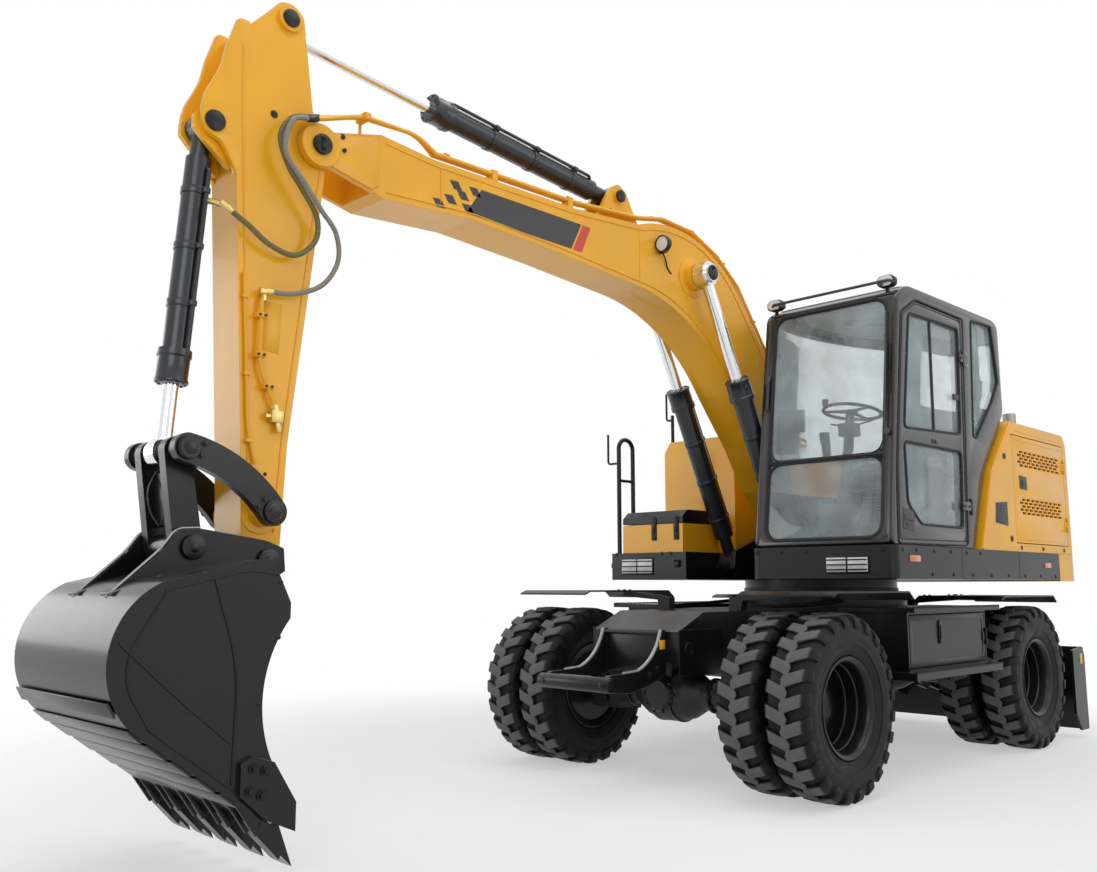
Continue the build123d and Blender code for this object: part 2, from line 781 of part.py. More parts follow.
# Engine housing: walls and roof, open at both side doors and under the lid
with BuildPart() as engine_hood:
    hood_outline = [
        (hood_rear_x, cab_floor),
        (hood_rear_x, hood_top - 70),
        (hood_rear_x + 60, hood_top),
        (-662, hood_top),
        (-282, 1960),
        (-60, cab_floor),
    ]
    plate(hood_outline, hood_half_width, -hood_half_width)
    block(
        (hood_split_x, 0), (-hood_half_width - 1, cab_right_y - 10),
        (cab_floor - 1, hood_top + 1), Mode.SUBTRACT,
    )
    inner_floor = cab_floor + hood_wall
    engine_room = [
        (hood_rear_x + hood_wall, inner_floor),
        (hood_rear_x + hood_wall, hood_top - 82),
        (hood_rear_x + 72, hood_top - hood_wall),
        (hood_split_x - hood_wall, hood_top - hood_wall),
        (hood_split_x - hood_wall, inner_floor),
    ]
    plate(engine_room, hood_half_width - hood_wall, -hood_half_width + hood_wall, Mode.SUBTRACT)
    cooler_room = [
        (hood_split_x - hood_wall - 10, inner_floor),
        (hood_split_x - hood_wall - 10, hood_top - hood_wall),
        (-676, hood_top - hood_wall),
        (-304, 1950),
        (-100, inner_floor),
    ]
    plate(cooler_room, hood_half_width - hood_wall, cab_right_y - 10 + hood_wall, Mode.SUBTRACT)
    block(
        hood_door_left_x, (hood_half_width - hood_wall - 1, hood_half_width + 1), hood_door_z, Mode.SUBTRACT
    )
    block(
        hood_door_right_x, (-hood_half_width - 1, -hood_half_width + hood_wall + 1), hood_door_z, Mode.SUBTRACT
    )
    block(
        (lid_x[0] + 40, lid_x[1] - 40), (lid_y[0] + 40, lid_y[1] - 40),
        (hood_top - hood_wall - 1, hood_top + 1), Mode.SUBTRACT,
    )
    for edge in (1, -1):
        leaf_y = sorted((edge * (hood_half_width - 2), edge * (hood_half_width + 6)))
        for middle in hood_hinge_z:
            upright_pin(hood_hinge[0], edge * hood_hinge[1], middle, (-1790, hood_hinge[0]), leaf_y)
    for middle in lid_hinge_y:
        level_pin(lid_hinge, middle, (lid_hinge[0] - 5, lid_hinge[0] + 3), (hood_top - 1, lid_hinge[1]))
save(engine_hood, "engine_hood")

# Side doors of the engine housing, each with two grilles
for edge, hand, door_x in ((1, "left", hood_door_left_x), (-1, "right", hood_door_right_x)):
    with BuildPart() as hood_door:
        limits = sorted((edge * (hood_half_width - hood_wall), edge * hood_half_width))
        block(
            (door_x[0] + move_gap, door_x[1] - move_gap),
            limits,
            (hood_door_z[0] + move_gap, hood_door_z[1] - move_gap),
        )
        leaf_y = sorted((edge * (hood_half_width - 2), edge * (hood_half_width + 5)))
        for middle in hood_hinge_z:
            upright_sleeve(hood_hinge[0], edge * hood_hinge[1], middle, (hood_hinge[0], -1690), leaf_y)
    save(hood_door, f"hood_door_{hand}")

with BuildPart() as hood_lid:
    block(
        (lid_x[0] + move_gap, lid_x[1] - move_gap),
        (lid_y[0] + move_gap, lid_y[1] - move_gap),
        (hood_top + move_gap, hood_top + 46),
    )
    for middle in lid_hinge_y:
        level_sleeve(lid_hinge, middle, (lid_hinge[0], lid_x[0] + move_gap + 1), (2386, 2394))
save(hood_lid, "hood_lid")

with BuildPart() as engine_block:
    block((-1560, -900), (-780, 700), (cab_floor + hood_wall + touch_gap, 2050))
save(engine_block, "engine_block")

# Tank housing at the right, ahead of the engine
with BuildPart() as side_tank:
    with BuildSketch(across(hood_split_x + touch_gap)) as tank_face:
        with BuildLine():
            Polyline(
                (slot_right_y - 20, cab_floor),
                (slot_right_y - 20, hood_top - 30),
                (-hood_half_width + 60, hood_top - 30),
                (-hood_half_width, hood_top - 120),
                (-hood_half_width, cab_floor),
                close=True,
            )
        make_face()
        fillet(tank_face.vertices().group_by(Axis.Y)[-1], 40)
    extrude(amount=1130)
save(side_tank, "side_tank")

# Tool box on the right deck, with its lid hinged at the rear
tool_box_x = (520, 955)
tool_box_y = (-1120, -545)
tool_box_low = 1620
tool_box_high = 1722
with BuildPart() as tool_box:
    block(tool_box_x, tool_box_y, (cab_floor, tool_box_low))
    block(
        (tool_box_x[0] + 20, tool_box_x[1] - 20),
        (tool_box_y[0] + 20, tool_box_y[1] - 20),
        (cab_floor + 20, tool_box_low + 1),
        Mode.SUBTRACT,
    )
    for middle in box_hinge_y:
        level_pin(box_hinge, middle, (box_hinge[0] - 5, box_hinge[0] + 3), (1590, box_hinge[1]))
save(tool_box, "tool_box")

with BuildPart() as tool_box_lid:
    with BuildSketch(side(tool_box_y[1])) as lid_face:
        with BuildLine():
            Polyline(
                (tool_box_x[0] + 4, tool_box_low + move_gap),
                (tool_box_x[0] + 4, tool_box_high),
                (tool_box_x[1] - 60, tool_box_high),
                (tool_box_x[1], tool_box_low + 50),
                (tool_box_x[1], tool_box_low + move_gap),
                close=True,
            )
        make_face()
        fillet(lid_face.vertices().group_by(Axis.Y)[-1], 14)
    extrude(amount=tool_box_y[1] - tool_box_y[0])
    for middle in box_hinge_y:
        level_sleeve(box_hinge, middle, (box_hinge[0], tool_box_x[0] + 5), (1627, 1633))
save(tool_box_lid, "tool_box_lid")

cab_outline = [
    cab_front_low,
    cab_front_high,
    cab_roof_front,
    cab_roof_rear,
    cab_rear_high,
    cab_rear_kink,
    cab_rear_mid,
    cab_rear_low,
]
door_outline = [
    (1075, cab_floor + 28),
    (1020, 1700),
    (800, 2935),
    (12, 2945),
    (12, cab_floor + 28),
]
side_window = [(-50, 2200), (-50, 2925), (-555, 2925), (-590, 2870), (-590, 2450), (-330, 2150)]
right_window = [(960, 1800), (780, 2900), (-540, 2920), (-585, 2860), (-585, 2450), (-300, 2120), (-60, 1800)]
lean = atan2(cab_front_low[0] - cab_front_high[0], cab_front_high[1] - cab_front_low[1])


def windscreen_plane(height, depth):
    """Plane in the leaning front of the cab, at this height up the slope and depth behind it."""
    x = cab_front_low[0] - height * sin(lean) - depth * cos(lean)
    z = cab_front_low[1] + height * cos(lean) - depth * sin(lean)
    return Plane(origin=(slew_x + x, 0, z), x_dir=(0, 1, 0), z_dir=(cos(lean), 0, sin(lean)))


cab_middle_y = (cab_left_y + cab_right_y) / 2
screen_panes = ((300, 480), (1010, 900))
screen_width = 800

# Cab frame: a hollow body with its door opening and windows cut
with BuildPart() as cab_frame:
    plate(cab_outline, cab_left_y, cab_right_y)
    with BuildSketch(side(cab_left_y - cab_wall)) as room:
        with BuildLine():
            Polyline(*cab_outline, close=True)
        make_face()
        offset(amount=-cab_wall, kind=Kind.INTERSECTION)
    extrude(amount=cab_left_y - cab_right_y - 2 * cab_wall, mode=Mode.SUBTRACT)
    plate(door_outline, cab_left_y + 1, cab_left_y - cab_wall - 1, Mode.SUBTRACT, round_off=30)
    plate(side_window, cab_left_y + 1, cab_left_y - cab_wall - 1, Mode.SUBTRACT, round_off=40)
    plate(right_window, cab_right_y + cab_wall + 1, cab_right_y - 1, Mode.SUBTRACT, round_off=50)
    for height, tall in screen_panes:
        with BuildSketch(windscreen_plane(height, cab_wall + 20)):
            with Locations((cab_middle_y, 0)):
                RectangleRounded(screen_width, tall, 90)
        extrude(amount=cab_wall + 60, mode=Mode.SUBTRACT)
    with BuildSketch(across(-720)):
        with Locations((cab_middle_y, 2690)):
            RectangleRounded(760, 420, 60)
    extrude(amount=180, mode=Mode.SUBTRACT)
    with BuildSketch(level(2950)):
        with Locations((250, cab_middle_y)):
            RectangleRounded(620, 620, 60)
    extrude(amount=150, mode=Mode.SUBTRACT)
    for middle in cab_hinge_z:
        upright_pin(*cab_hinge, middle, (-30, cab_hinge[0]), (cab_left_y - 2, cab_left_y + 6))
save(cab_frame, "cab_frame")


def inset(points, y_left, y_right, amount, round_off):
    """Plate a little smaller than an opening with this outline."""
    with BuildSketch(side(y_left)) as outline:
        with BuildLine():
            Polyline(*points, close=True)
        make_face()
        fillet(outline.vertices(), round_off)
        offset(amount=-amount)
    extrude(outline.sketch, amount=y_left - y_right)


# Fixed panes of the cab
with BuildPart() as cab_glass:
    inset(side_window, cab_left_y - 18, cab_left_y - 18 - glass_wall, touch_gap, 40)
    inset(right_window, cab_right_y + 26, cab_right_y + 26 - glass_wall, touch_gap, 50)
    for height, tall in screen_panes:
        with BuildSketch(windscreen_plane(height, 24)):
            with Locations((cab_middle_y, 0)):
                RectangleRounded(screen_width - 2 * touch_gap, tall - 2 * touch_gap, 90 - touch_gap)
        extrude(amount=glass_wall)
    with BuildSketch(across(-626)):
        with Locations((cab_middle_y, 2690)):
            RectangleRounded(760 - 2 * touch_gap, 420 - 2 * touch_gap, 60 - touch_gap)
    extrude(amount=glass_wall)
    with BuildSketch(level(3010)):
        with Locations((250, cab_middle_y)):
            RectangleRounded(620 - 2 * touch_gap, 620 - 2 * touch_gap, 60 - touch_gap)
    extrude(amount=glass_wall)
save(cab_glass, "cab_glass")

door_upper_window = [(880, 2075), (735, 2880), (75, 2885), (75, 2075)]
door_lower_window = [(1000, 1510), (885, 2000), (75, 2000), (75, 1620), (180, 1510)]

# Cab door, hung at its rear edge
with BuildPart() as cab_door:
    inset(door_outline, cab_left_y - 2, cab_left_y - cab_wall + 4, move_gap, 30)
    plate(door_upper_window, cab_left_y + 1, cab_left_y - cab_wall - 1, Mode.SUBTRACT, round_off=40)
    plate(door_lower_window, cab_left_y + 1, cab_left_y - cab_wall - 1, Mode.SUBTRACT, round_off=40)
    for middle in cab_hinge_z:
        upright_sleeve(*cab_hinge, middle, (cab_hinge[0], 60), (cab_left_y - 4, cab_left_y + 5))
save(cab_door, "cab_door")

with BuildPart() as door_glass:
    for window in (door_upper_window, door_lower_window):
        inset(window, cab_left_y - 16, cab_left_y - 16 - glass_wall, touch_gap, 40)
save(door_glass, "door_glass")

# Seat and the controls inside the cab
seat_y = 690
with BuildPart() as cab_seat:
    block((150, 480), (seat_y - 190, seat_y + 190), (cab_floor + cab_wall + touch_gap, 1800))
    seat_cushion = [(100, 1800), (100, 1890), (560, 1930), (600, 1900), (590, 1830), (480, 1800)]
    plate(seat_cushion, seat_y + 250, seat_y - 250, round_off=20)
    seat_back = [(100, 1880), (-80, 2440), (-20, 2560), (40, 2570), (70, 2440), (240, 1895)]
    plate(seat_back, seat_y + 235, seat_y - 235, round_off=20)
    for edge in (1, -1):
        arm_y = sorted((seat_y + edge * 262, seat_y + edge * 340))
        block((120, 540), arm_y, (1960, 2040))
        block((180, 300), arm_y, (cab_floor + cab_wall + touch_gap, 1960))
        brace_y = sorted((seat_y + edge * 180, seat_y + edge * 270))
        block((180, 300), brace_y, (1700, 1780))
save(cab_seat, "cab_seat")

with BuildPart() as cab_controls:
    block((700, 1000), (seat_y - 120, seat_y + 120), (cab_floor + cab_wall + touch_gap, 1700))
    rod_between((860, 1690), (692, 2268), seat_y, 38)
    wheel_plane = Plane(origin=(slew_x + 690, seat_y, 2262), x_dir=(0, 1, 0), z_dir=(-0.5, 0, 0.866))
    with BuildSketch(wheel_plane):
        Circle(188)
        Circle(162, mode=Mode.SUBTRACT)
        Circle(46)
        Rectangle(360, 24)
    extrude(amount=24)
save(cab_controls, "cab_controls")


def tube(points, radius, bend):
    """Bent round bar through these places."""
    with BuildLine() as path:
        if len(points) > 2:
            FilletPolyline(*[(slew_x + x, y, z) for x, y, z in points], radius=bend)
        else:
            Polyline(*[(slew_x + x, y, z) for x, y, z in points])
    with BuildSketch(Plane(origin=path.line @ 0, z_dir=path.line % 0)) as end:
        Circle(radius)
    sweep(end.sketch, path=path.line)


# Hand rail and mirror arms at the right
rail_radius = 17
mirror_rod_radius = 9
rail_y = -1160
with BuildPart() as rails:
    tube(
        [
            (950, rail_y, deck_high + touch_gap),
            (950, rail_y, 2300),
            (785, rail_y, 2300),
            (785, rail_y, deck_high + touch_gap),
        ],
        rail_radius, 78,
    )
    tube([(950, rail_y, 1975), (785, rail_y, 1975)], 12, 0)
    tube([(950, rail_y, 2110), (950, -1270, 2110), (950, -1270, 2345)], mirror_rod_radius, 24)
    pole_y = -hood_half_width - touch_gap - 14
    tube([(200, pole_y, 1500), (200, pole_y, 2580)], 14, 0)
    tube([(200, pole_y, 2540), (200, -1276, 2540), (200, -1276, 2770)], mirror_rod_radius, 24)
save(rails, "rails")

# Lamps: two in the deck's front faces and two on the cab roof
with BuildPart() as lamps:
    block((right_deck_front_x + touch_gap, right_deck_front_x + 16), (-1110, -800), (1240, 1375))
    block((cab_deck_front_x + touch_gap, cab_deck_front_x + 16), (740, 1040), (1240, 1355))
    for y in (cab_right_y + 110, cab_left_y - 60):
        plate([(800.3, 3022.6), (850.3, 2983.7), (880, 3060), (840, 3060)], y + 14, y - 14)
        block((835, 905), (y - 60, y + 60), (3052, 3132))
save(lamps, "lamps")

# Boom: a cranked box with a fork at its tip
with BuildPart() as boom:
    with BuildSketch(side(boom_y + boom_half_width)):
        with BuildLine():
            Polyline((-62, 1650), (310, 2360), (647, 2839), (989, 3243))
            ThreePointArc((989, 3243), (1480, 3515), (2056, 3471))
            Polyline(
                (2056, 3471), (2647, 3419), (3736, 3399), (4078, 3428), (4400, 3338), (4495, 3300),
                (4495, 3220), (4408, 3176), (4047, 3098), (3466, 3139), (2782, 3108), (2056, 3057),
            )
            ThreePointArc((2056, 3057), (1538, 2905), (1060, 2500))
            Polyline((1060, 2500), (760, 2160), (540, 1850), (160, 1518))
            ThreePointArc((160, 1518), (10, 1484), (-62, 1650))
        make_face()
    extrude(amount=2 * boom_half_width)
    fork_half = arm_half_width + move_gap
    disc(boom_tip, 345, boom_y + fork_half, boom_y - fork_half, Mode.SUBTRACT)
    disc(boom_tip, boom_tip_radius, boom_y + boom_half_width + 16, boom_y + fork_half)
    disc(boom_tip, boom_tip_radius, boom_y - fork_half, boom_y - boom_half_width - 16)
    disc(boom_tip, main_pin_radius, boom_y + boom_half_width + 30, boom_y - boom_half_width - 30)
    disc(boom_foot, main_pin_radius + pin_gap, boom_y + boom_half_width, boom_y - boom_half_width, Mode.SUBTRACT)
    lift_boss = lift_offset_y - lift_eye_half_width - move_gap
    disc(boom_lift_pin, 92, boom_y + lift_boss, boom_y - lift_boss)
    for edge in (1, -1):
        near = boom_y + edge * (arm_eye_half_width + move_gap)
        far = near + edge * 30
        base_ear = [(1960, 3440), (2110, 3690), (2180, 3725), (2250, 3690), (2400, 3430)]
        plate(base_ear, max(near, far), min(near, far), round_off=30)
    disc(arm_base, main_pin_radius - 4, boom_y + 96, boom_y - 96)
save(boom, "boom")

# Steel pipes clipped along the top of the boom
with BuildPart() as boom_pipes:
    for offset_y in (-134, -104, 104, 134):
        y = boom_y + offset_y
        tube(
            [
                (600, y, 2850),
                (952, y, 3288),
                (1200, y, 3462),
                (1480, y, 3566),
                (1800, y, 3578),
                (2070, y, 3520),
                (2650, y, 3466),
                (3720, y, 3444),
            ],
            12, 110,
        )
    for x, z in ((2690, 3419), (3300, 3409)):
        for edge in (1, -1):
            limits = sorted((boom_y + edge * 90, boom_y + edge * 148))
            block((x - 20, x + 20), limits, (z + touch_gap, z + 62))
save(boom_pipes, "boom_pipes")

# Boom cylinders, one on each side of the boom
for edge, hand in ((1, "left"), (-1, "right")):
    y = boom_y + edge * lift_offset_y
    with BuildPart() as lift_barrel:
        barrel(
            lift_base, boom_lift_pin, y, lift_barrel_radius, lift_barrel_length,
            lift_eye_radius, lift_eye_half_width, lift_gland_length, main_pin_radius - 4, 215,
        )
        bore(lift_base, boom_lift_pin, y, lift_rod_radius + pin_gap, lift_barrel_length, 170)
    save(lift_barrel, f"boom_cylinder_barrel_{hand}")
    with BuildPart() as lift_rod:
        rod_between(
            along(lift_base, boom_lift_pin, 780), boom_lift_pin, y, lift_rod_radius
        )
        disc(boom_lift_pin, lift_eye_radius, y + lift_eye_half_width, y - lift_eye_half_width)
        cap_ends = sorted((y + edge * lift_eye_half_width, y + edge * (lift_eye_half_width + 26)))
        disc(boom_lift_pin, 62, cap_ends[1], cap_ends[0])
    save(lift_rod, f"boom_cylinder_rod_{hand}")

# Arm: a tapered box with slotted ears at the top
with BuildPart() as arm:
    with BuildSketch(side(boom_y + arm_half_width)):
        with BuildLine():
            Polyline(
                (4524, 3880), (4461, 3440), (4378, 3180), (4399, 2974),
                (4451, 2518), (4534, 1802), (4556, 1274),
            )
            ThreePointArc((4556, 1274), (arm_tip[0], arm_tip[1] - arm_tip_radius), (4740, 1274))
            Polyline((4740, 1274), (4762, 1709), (4824, 2735), (4865, 3399), (4850, 3700), (4688, 3880))
            ThreePointArc((4688, 3880), (4606, 3934), (4524, 3880))
        make_face()
    extrude(amount=2 * arm_half_width)
    ear_slot = arm_eye_half_width + move_gap
    disc(arm_rod_pin, 172, boom_y + ear_slot, boom_y - ear_slot, Mode.SUBTRACT)
    bores = ((boom_tip, main_pin_radius), (arm_tip, 34))
    for place, radius in bores:
        disc(place, radius + pin_gap, boom_y + arm_half_width, boom_y - arm_half_width, Mode.SUBTRACT)
    for edge in (1, -1):
        near = boom_y + edge * (crowd_eye_half_width + move_gap)
        far = near + edge * 30
        ear = [(4850, 3400), (4960, 3310), (5035, 3250), (5035, 3190), (4985, 3140), (4838, 3020)]
        plate(ear, max(near, far), min(near, far), round_off=16)
        cap = sorted((boom_y + edge * arm_half_width, boom_y + edge * (arm_half_width + 20)))
        disc(arm_rod_pin, 62, cap[1], cap[0])
    disc(crowd_base, 36, boom_y + 92, boom_y - 92)
    rocker_reach = rocker_y - rocker_wall / 2 - move_gap
    disc(rocker_pin, 62, boom_y + rocker_reach, boom_y - rocker_reach)
    disc(rocker_pin, 34, boom_y + rocker_y + 36, boom_y - rocker_y - 36)
save(arm, "arm")

# Pipes down the left side of the arm
with BuildPart() as arm_pipes:
    y = boom_y + arm_half_width + 26
    tube([(4620, y, 2700), (4640, y, 1900)], 12, 0)
    for z in (2600, 2000):
        block((4600, 4665), (boom_y + arm_half_width + touch_gap, y + 16), (z, z + 30))
save(arm_pipes, "arm_pipes")

# Arm cylinder on top of the boom
with BuildPart() as arm_cylinder_barrel:
    barrel(
        arm_base, arm_rod_pin, boom_y, arm_barrel_radius, arm_barrel_length,
        arm_eye_radius, arm_eye_half_width, 140, main_pin_radius - 4, 190,
    )
    bore(arm_base, arm_rod_pin, boom_y, arm_rod_radius + pin_gap, arm_barrel_length, 150)
save(arm_cylinder_barrel, "arm_cylinder_barrel")

with BuildPart() as arm_cylinder_rod:
    rod_between(along(arm_base, arm_rod_pin, 860), arm_rod_pin, boom_y, arm_rod_radius)
    disc(arm_rod_pin, arm_eye_radius, boom_y + arm_eye_half_width, boom_y - arm_eye_half_width)
save(arm_cylinder_rod, "arm_cylinder_rod")

# Bucket cylinder in front of the arm
with BuildPart() as bucket_cylinder_barrel:
    barrel(
        crowd_base, rocker_top, boom_y, crowd_barrel_radius, crowd_barrel_length,
        crowd_eye_radius, crowd_eye_half_width, 150, 36, 150,
    )
    bore(crowd_base, rocker_top, boom_y, crowd_rod_radius + pin_gap, crowd_barrel_length, 130)
save(bucket_cylinder_barrel, "bucket_cylinder_barrel")

with BuildPart() as bucket_cylinder_rod:
    rod_between(along(crowd_base, rocker_top, 330), rocker_top, boom_y, crowd_rod_radius)
    disc(rocker_top, crowd_eye_radius, boom_y + crowd_eye_half_width, boom_y - crowd_eye_half_width)
save(bucket_cylinder_rod, "bucket_cylinder_rod")

# Bowed rocker plates beside the arm
with BuildPart() as rocker_links:
    for edge in (1, -1):
        limits = sorted(
            (boom_y + edge * (rocker_y - rocker_wall / 2), boom_y + edge * (rocker_y + rocker_wall / 2))
        )
        with BuildLine() as bow:
            ThreePointArc(rocker_pin, (4890, 1672), rocker_top)
        with BuildSketch(side(limits[1])):
            SlotArc(bow.line.edges()[0], 124)
            with Locations(rocker_pin):
                Circle(34 + pin_gap, mode=Mode.SUBTRACT)
        extrude(amount=limits[1] - limits[0])
        inner_boss = sorted((boom_y + edge * (link_half_width), boom_y + edge * (rocker_y - 10)))
        disc(rocker_top, 48, inner_boss[1], inner_boss[0])
        outer_cap = sorted((boom_y + edge * (rocker_y + 10), boom_y + edge * (rocker_y + 42)))
        disc(rocker_top, 44, outer_cap[1], outer_cap[0])
save(rocker_links, "rocker_links")

# Forked link from the rockers to the bucket
link_fork_half = link_half_width - move_gap
with BuildPart() as bucket_link:
    for edge in (1, -1):
        limits = sorted((boom_y + edge * 88, boom_y + edge * link_fork_half))
        with BuildSketch(side(limits[1])) as cheek_face:
            with Locations(rocker_top):
                Circle(58)
            with Locations(bucket_pin):
                Circle(64)
            make_hull()
        extrude(amount=limits[1] - limits[0])
        boss = sorted((boom_y + edge * (crowd_eye_half_width + move_gap), boom_y + edge * 90))
        disc(rocker_top, 48, boss[1], boss[0])
    disc(bucket_pin, 64, boom_y + link_fork_half, boom_y - link_fork_half)
    disc(bucket_pin, 34 + pin_gap, boom_y + link_fork_half, boom_y - link_fork_half, Mode.SUBTRACT)
save(bucket_link, "bucket_link")

# Bucket: a curved shell between two side plates, with ears and side cutters
bucket_lip = (4772, 238)
bucket_top_front = (4803, 1274)
with BuildPart() as bucket:
    bucket_left = boom_y + bucket_half_width
    with BuildSketch(side(bucket_left)):
        with BuildLine():
            Line(bucket_lip, (5290, 604))
            ThreePointArc((5290, 604), (5440, 860), (5249, 1180))
            Polyline((5249, 1180), (4886, 1268), bucket_top_front, (4772, 1243), (4700, 1098), (4700, 1035))
            ThreePointArc((4700, 1035), (4812, 745), (4762, 476))
            Line((4762, 476), bucket_lip)
        make_face()
    extrude(amount=2 * bucket_half_width)
    with BuildSketch(side(bucket_left - bucket_side_wall)) as hollow:
        with BuildLine():
            Line((4572, 96), (5290, 604))
            ThreePointArc((5290, 604), (5440, 860), (5249, 1180))
            Polyline((5249, 1180), (4886, 1268), (4600, 1337), (4572, 96))
        make_face()
        offset(amount=-bucket_shell_wall, kind=Kind.INTERSECTION)
    extrude(amount=2 * (bucket_half_width - bucket_side_wall), mode=Mode.SUBTRACT)
    for edge in (1, -1):
        near = boom_y + edge * (bucket_ear_y - bucket_ear_wall / 2)
        far = boom_y + edge * (bucket_ear_y + bucket_ear_wall / 2)
        ear = [
            (5330, 1120), (5120, 1310), (5060, 1396), (4960, 1402), (4660, 1362), (4570, 1330),
            (4560, 1230), (4640, 1182), (4790, 1230), (4886, 1250), (5249, 1160),
        ]
        plate(ear, max(near, far), min(near, far), round_off=10)
        cutter = [
            (4855, 507), (4907, 486), (4907, 362), (4793, 258), (4658, 196), (4658, 310), (4762, 476),
        ]
        cutter_ends = sorted(
            (boom_y + edge * bucket_half_width, boom_y + edge * (bucket_half_width + 22))
        )
        plate(cutter, cutter_ends[1], cutter_ends[0])
    pin_reach = bucket_ear_y + bucket_ear_wall / 2 + 7
    for place in (arm_tip, bucket_pin):
        disc(place, 34, boom_y + pin_reach, boom_y - pin_reach)
save(bucket, "bucket")

# Teeth on the lip
with BuildPart() as bucket_teeth:
    for index in range(tooth_count):
        y = boom_y + tooth_span * (index / (tooth_count - 1) - 0.5)
        tooth = [(4653, 57), (4712, 92), (4806, 190), (4850, 252), (4829.2, 278), (4772.2, 237.7), (4722, 236)]
        plate(tooth, y + 36, y - 36)
save(bucket_teeth, "bucket_teeth")
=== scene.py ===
from math import atan2, cos, hypot, pi, radians, sin

import bmesh
import bpy
from mathutils import Matrix, Vector


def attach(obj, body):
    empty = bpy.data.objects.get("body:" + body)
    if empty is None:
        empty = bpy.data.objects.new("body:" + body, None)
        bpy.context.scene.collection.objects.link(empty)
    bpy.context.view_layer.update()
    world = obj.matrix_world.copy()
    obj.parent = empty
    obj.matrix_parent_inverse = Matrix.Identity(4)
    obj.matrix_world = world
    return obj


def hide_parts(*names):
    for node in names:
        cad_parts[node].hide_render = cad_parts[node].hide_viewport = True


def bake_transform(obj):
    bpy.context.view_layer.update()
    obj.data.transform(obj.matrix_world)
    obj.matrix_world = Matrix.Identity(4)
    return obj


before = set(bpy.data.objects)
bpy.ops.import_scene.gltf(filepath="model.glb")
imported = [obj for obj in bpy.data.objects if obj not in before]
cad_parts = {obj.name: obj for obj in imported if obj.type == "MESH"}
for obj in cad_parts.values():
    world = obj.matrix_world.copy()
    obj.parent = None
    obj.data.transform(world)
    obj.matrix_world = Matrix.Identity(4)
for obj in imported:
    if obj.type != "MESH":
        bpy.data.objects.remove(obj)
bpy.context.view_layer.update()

# Places are written in millimetres from the slew axis, as on the drawing
SLEW_X = -1640
BOOM_Y = -150
FRONT_AXLE_X, REAR_AXLE_X, AXLE_Z = 1766, -954, 510

# Pins of the working arm, as (x, z)
LIFT_BASE, LIFT_PIN = (543, 1336), (1507, 3233)
ARM_BASE, ARM_PIN = (2181, 3640), (4606, 3850)
CROWD_BASE, CROWD_PIN = (4957, 3223), (5062, 1729)
ROCKER_PIN, LINK_PIN, BUCKET_PIN = (4659, 1484), (4995, 1324), (4648, 1274)


def at(x, y, z):
    """Place on the machine, in metres in the shared frame."""
    return Vector(((SLEW_X + x) / 1000, y / 1000, z / 1000))


# Finishes

def operator(operation, turned=False):
    """Method that works out an expression with one Math node; turned puts the other value first."""
    def method(self, other):
        return self.math(operation, *((other, self) if turned else (self, other)))
    return method


class Value:
    """Shader value: an expression on it adds the Math nodes that work it out."""

    def __init__(self, nodes, socket):
        self.nodes = nodes
        self.socket = socket

    def math(self, operation, *values):
        return self.nodes.node("Math", {"operation": operation}, dict(enumerate(values)))

    __add__, __radd__ = operator("ADD"), operator("ADD", True)
    __sub__, __rsub__ = operator("SUBTRACT"), operator("SUBTRACT", True)
    __mul__, __rmul__ = operator("MULTIPLY"), operator("MULTIPLY", True)
    __pow__, __gt__ = operator("POWER"), operator("GREATER_THAN")

    def abs(self):
        return self.math("ABSOLUTE", self)

    def step(self, low, high):
        """Eases from 0 at low to 1 at high."""
        settings = {"interpolation_type": "SMOOTHSTEP"}
        return self.nodes.node("MapRange", settings, {"Value": self, "From Min": low, "From Max": high})


class Nodes:
    """Node tree; node() adds a node and gives one of its outputs as a Value."""

    def __init__(self, tree):
        self.tree = tree

    def node(self, kind, settings=None, inputs=None, output=0):
        made = self.tree.nodes.new("ShaderNode" + kind)
        for key, value in (settings or {}).items():
            setattr(made, key, value)
        for key, value in (inputs or {}).items():
            self.link(made.inputs[key], value)
        return Value(self, made.outputs[output])

    def link(self, socket, value):
        if isinstance(value, Value):
            self.tree.links.new(value.socket, socket)
        else:
            socket.default_value = value

    def seen(self):
        """1 where the camera sees it directly, in a reflection or through glass."""
        rays = [self.node("LightPath", output=f"Is {kind} Ray") for kind in ("Camera", "Glossy",
            "Transmission")]
        return (rays[0] + rays[1] + rays[2]) > 0.5


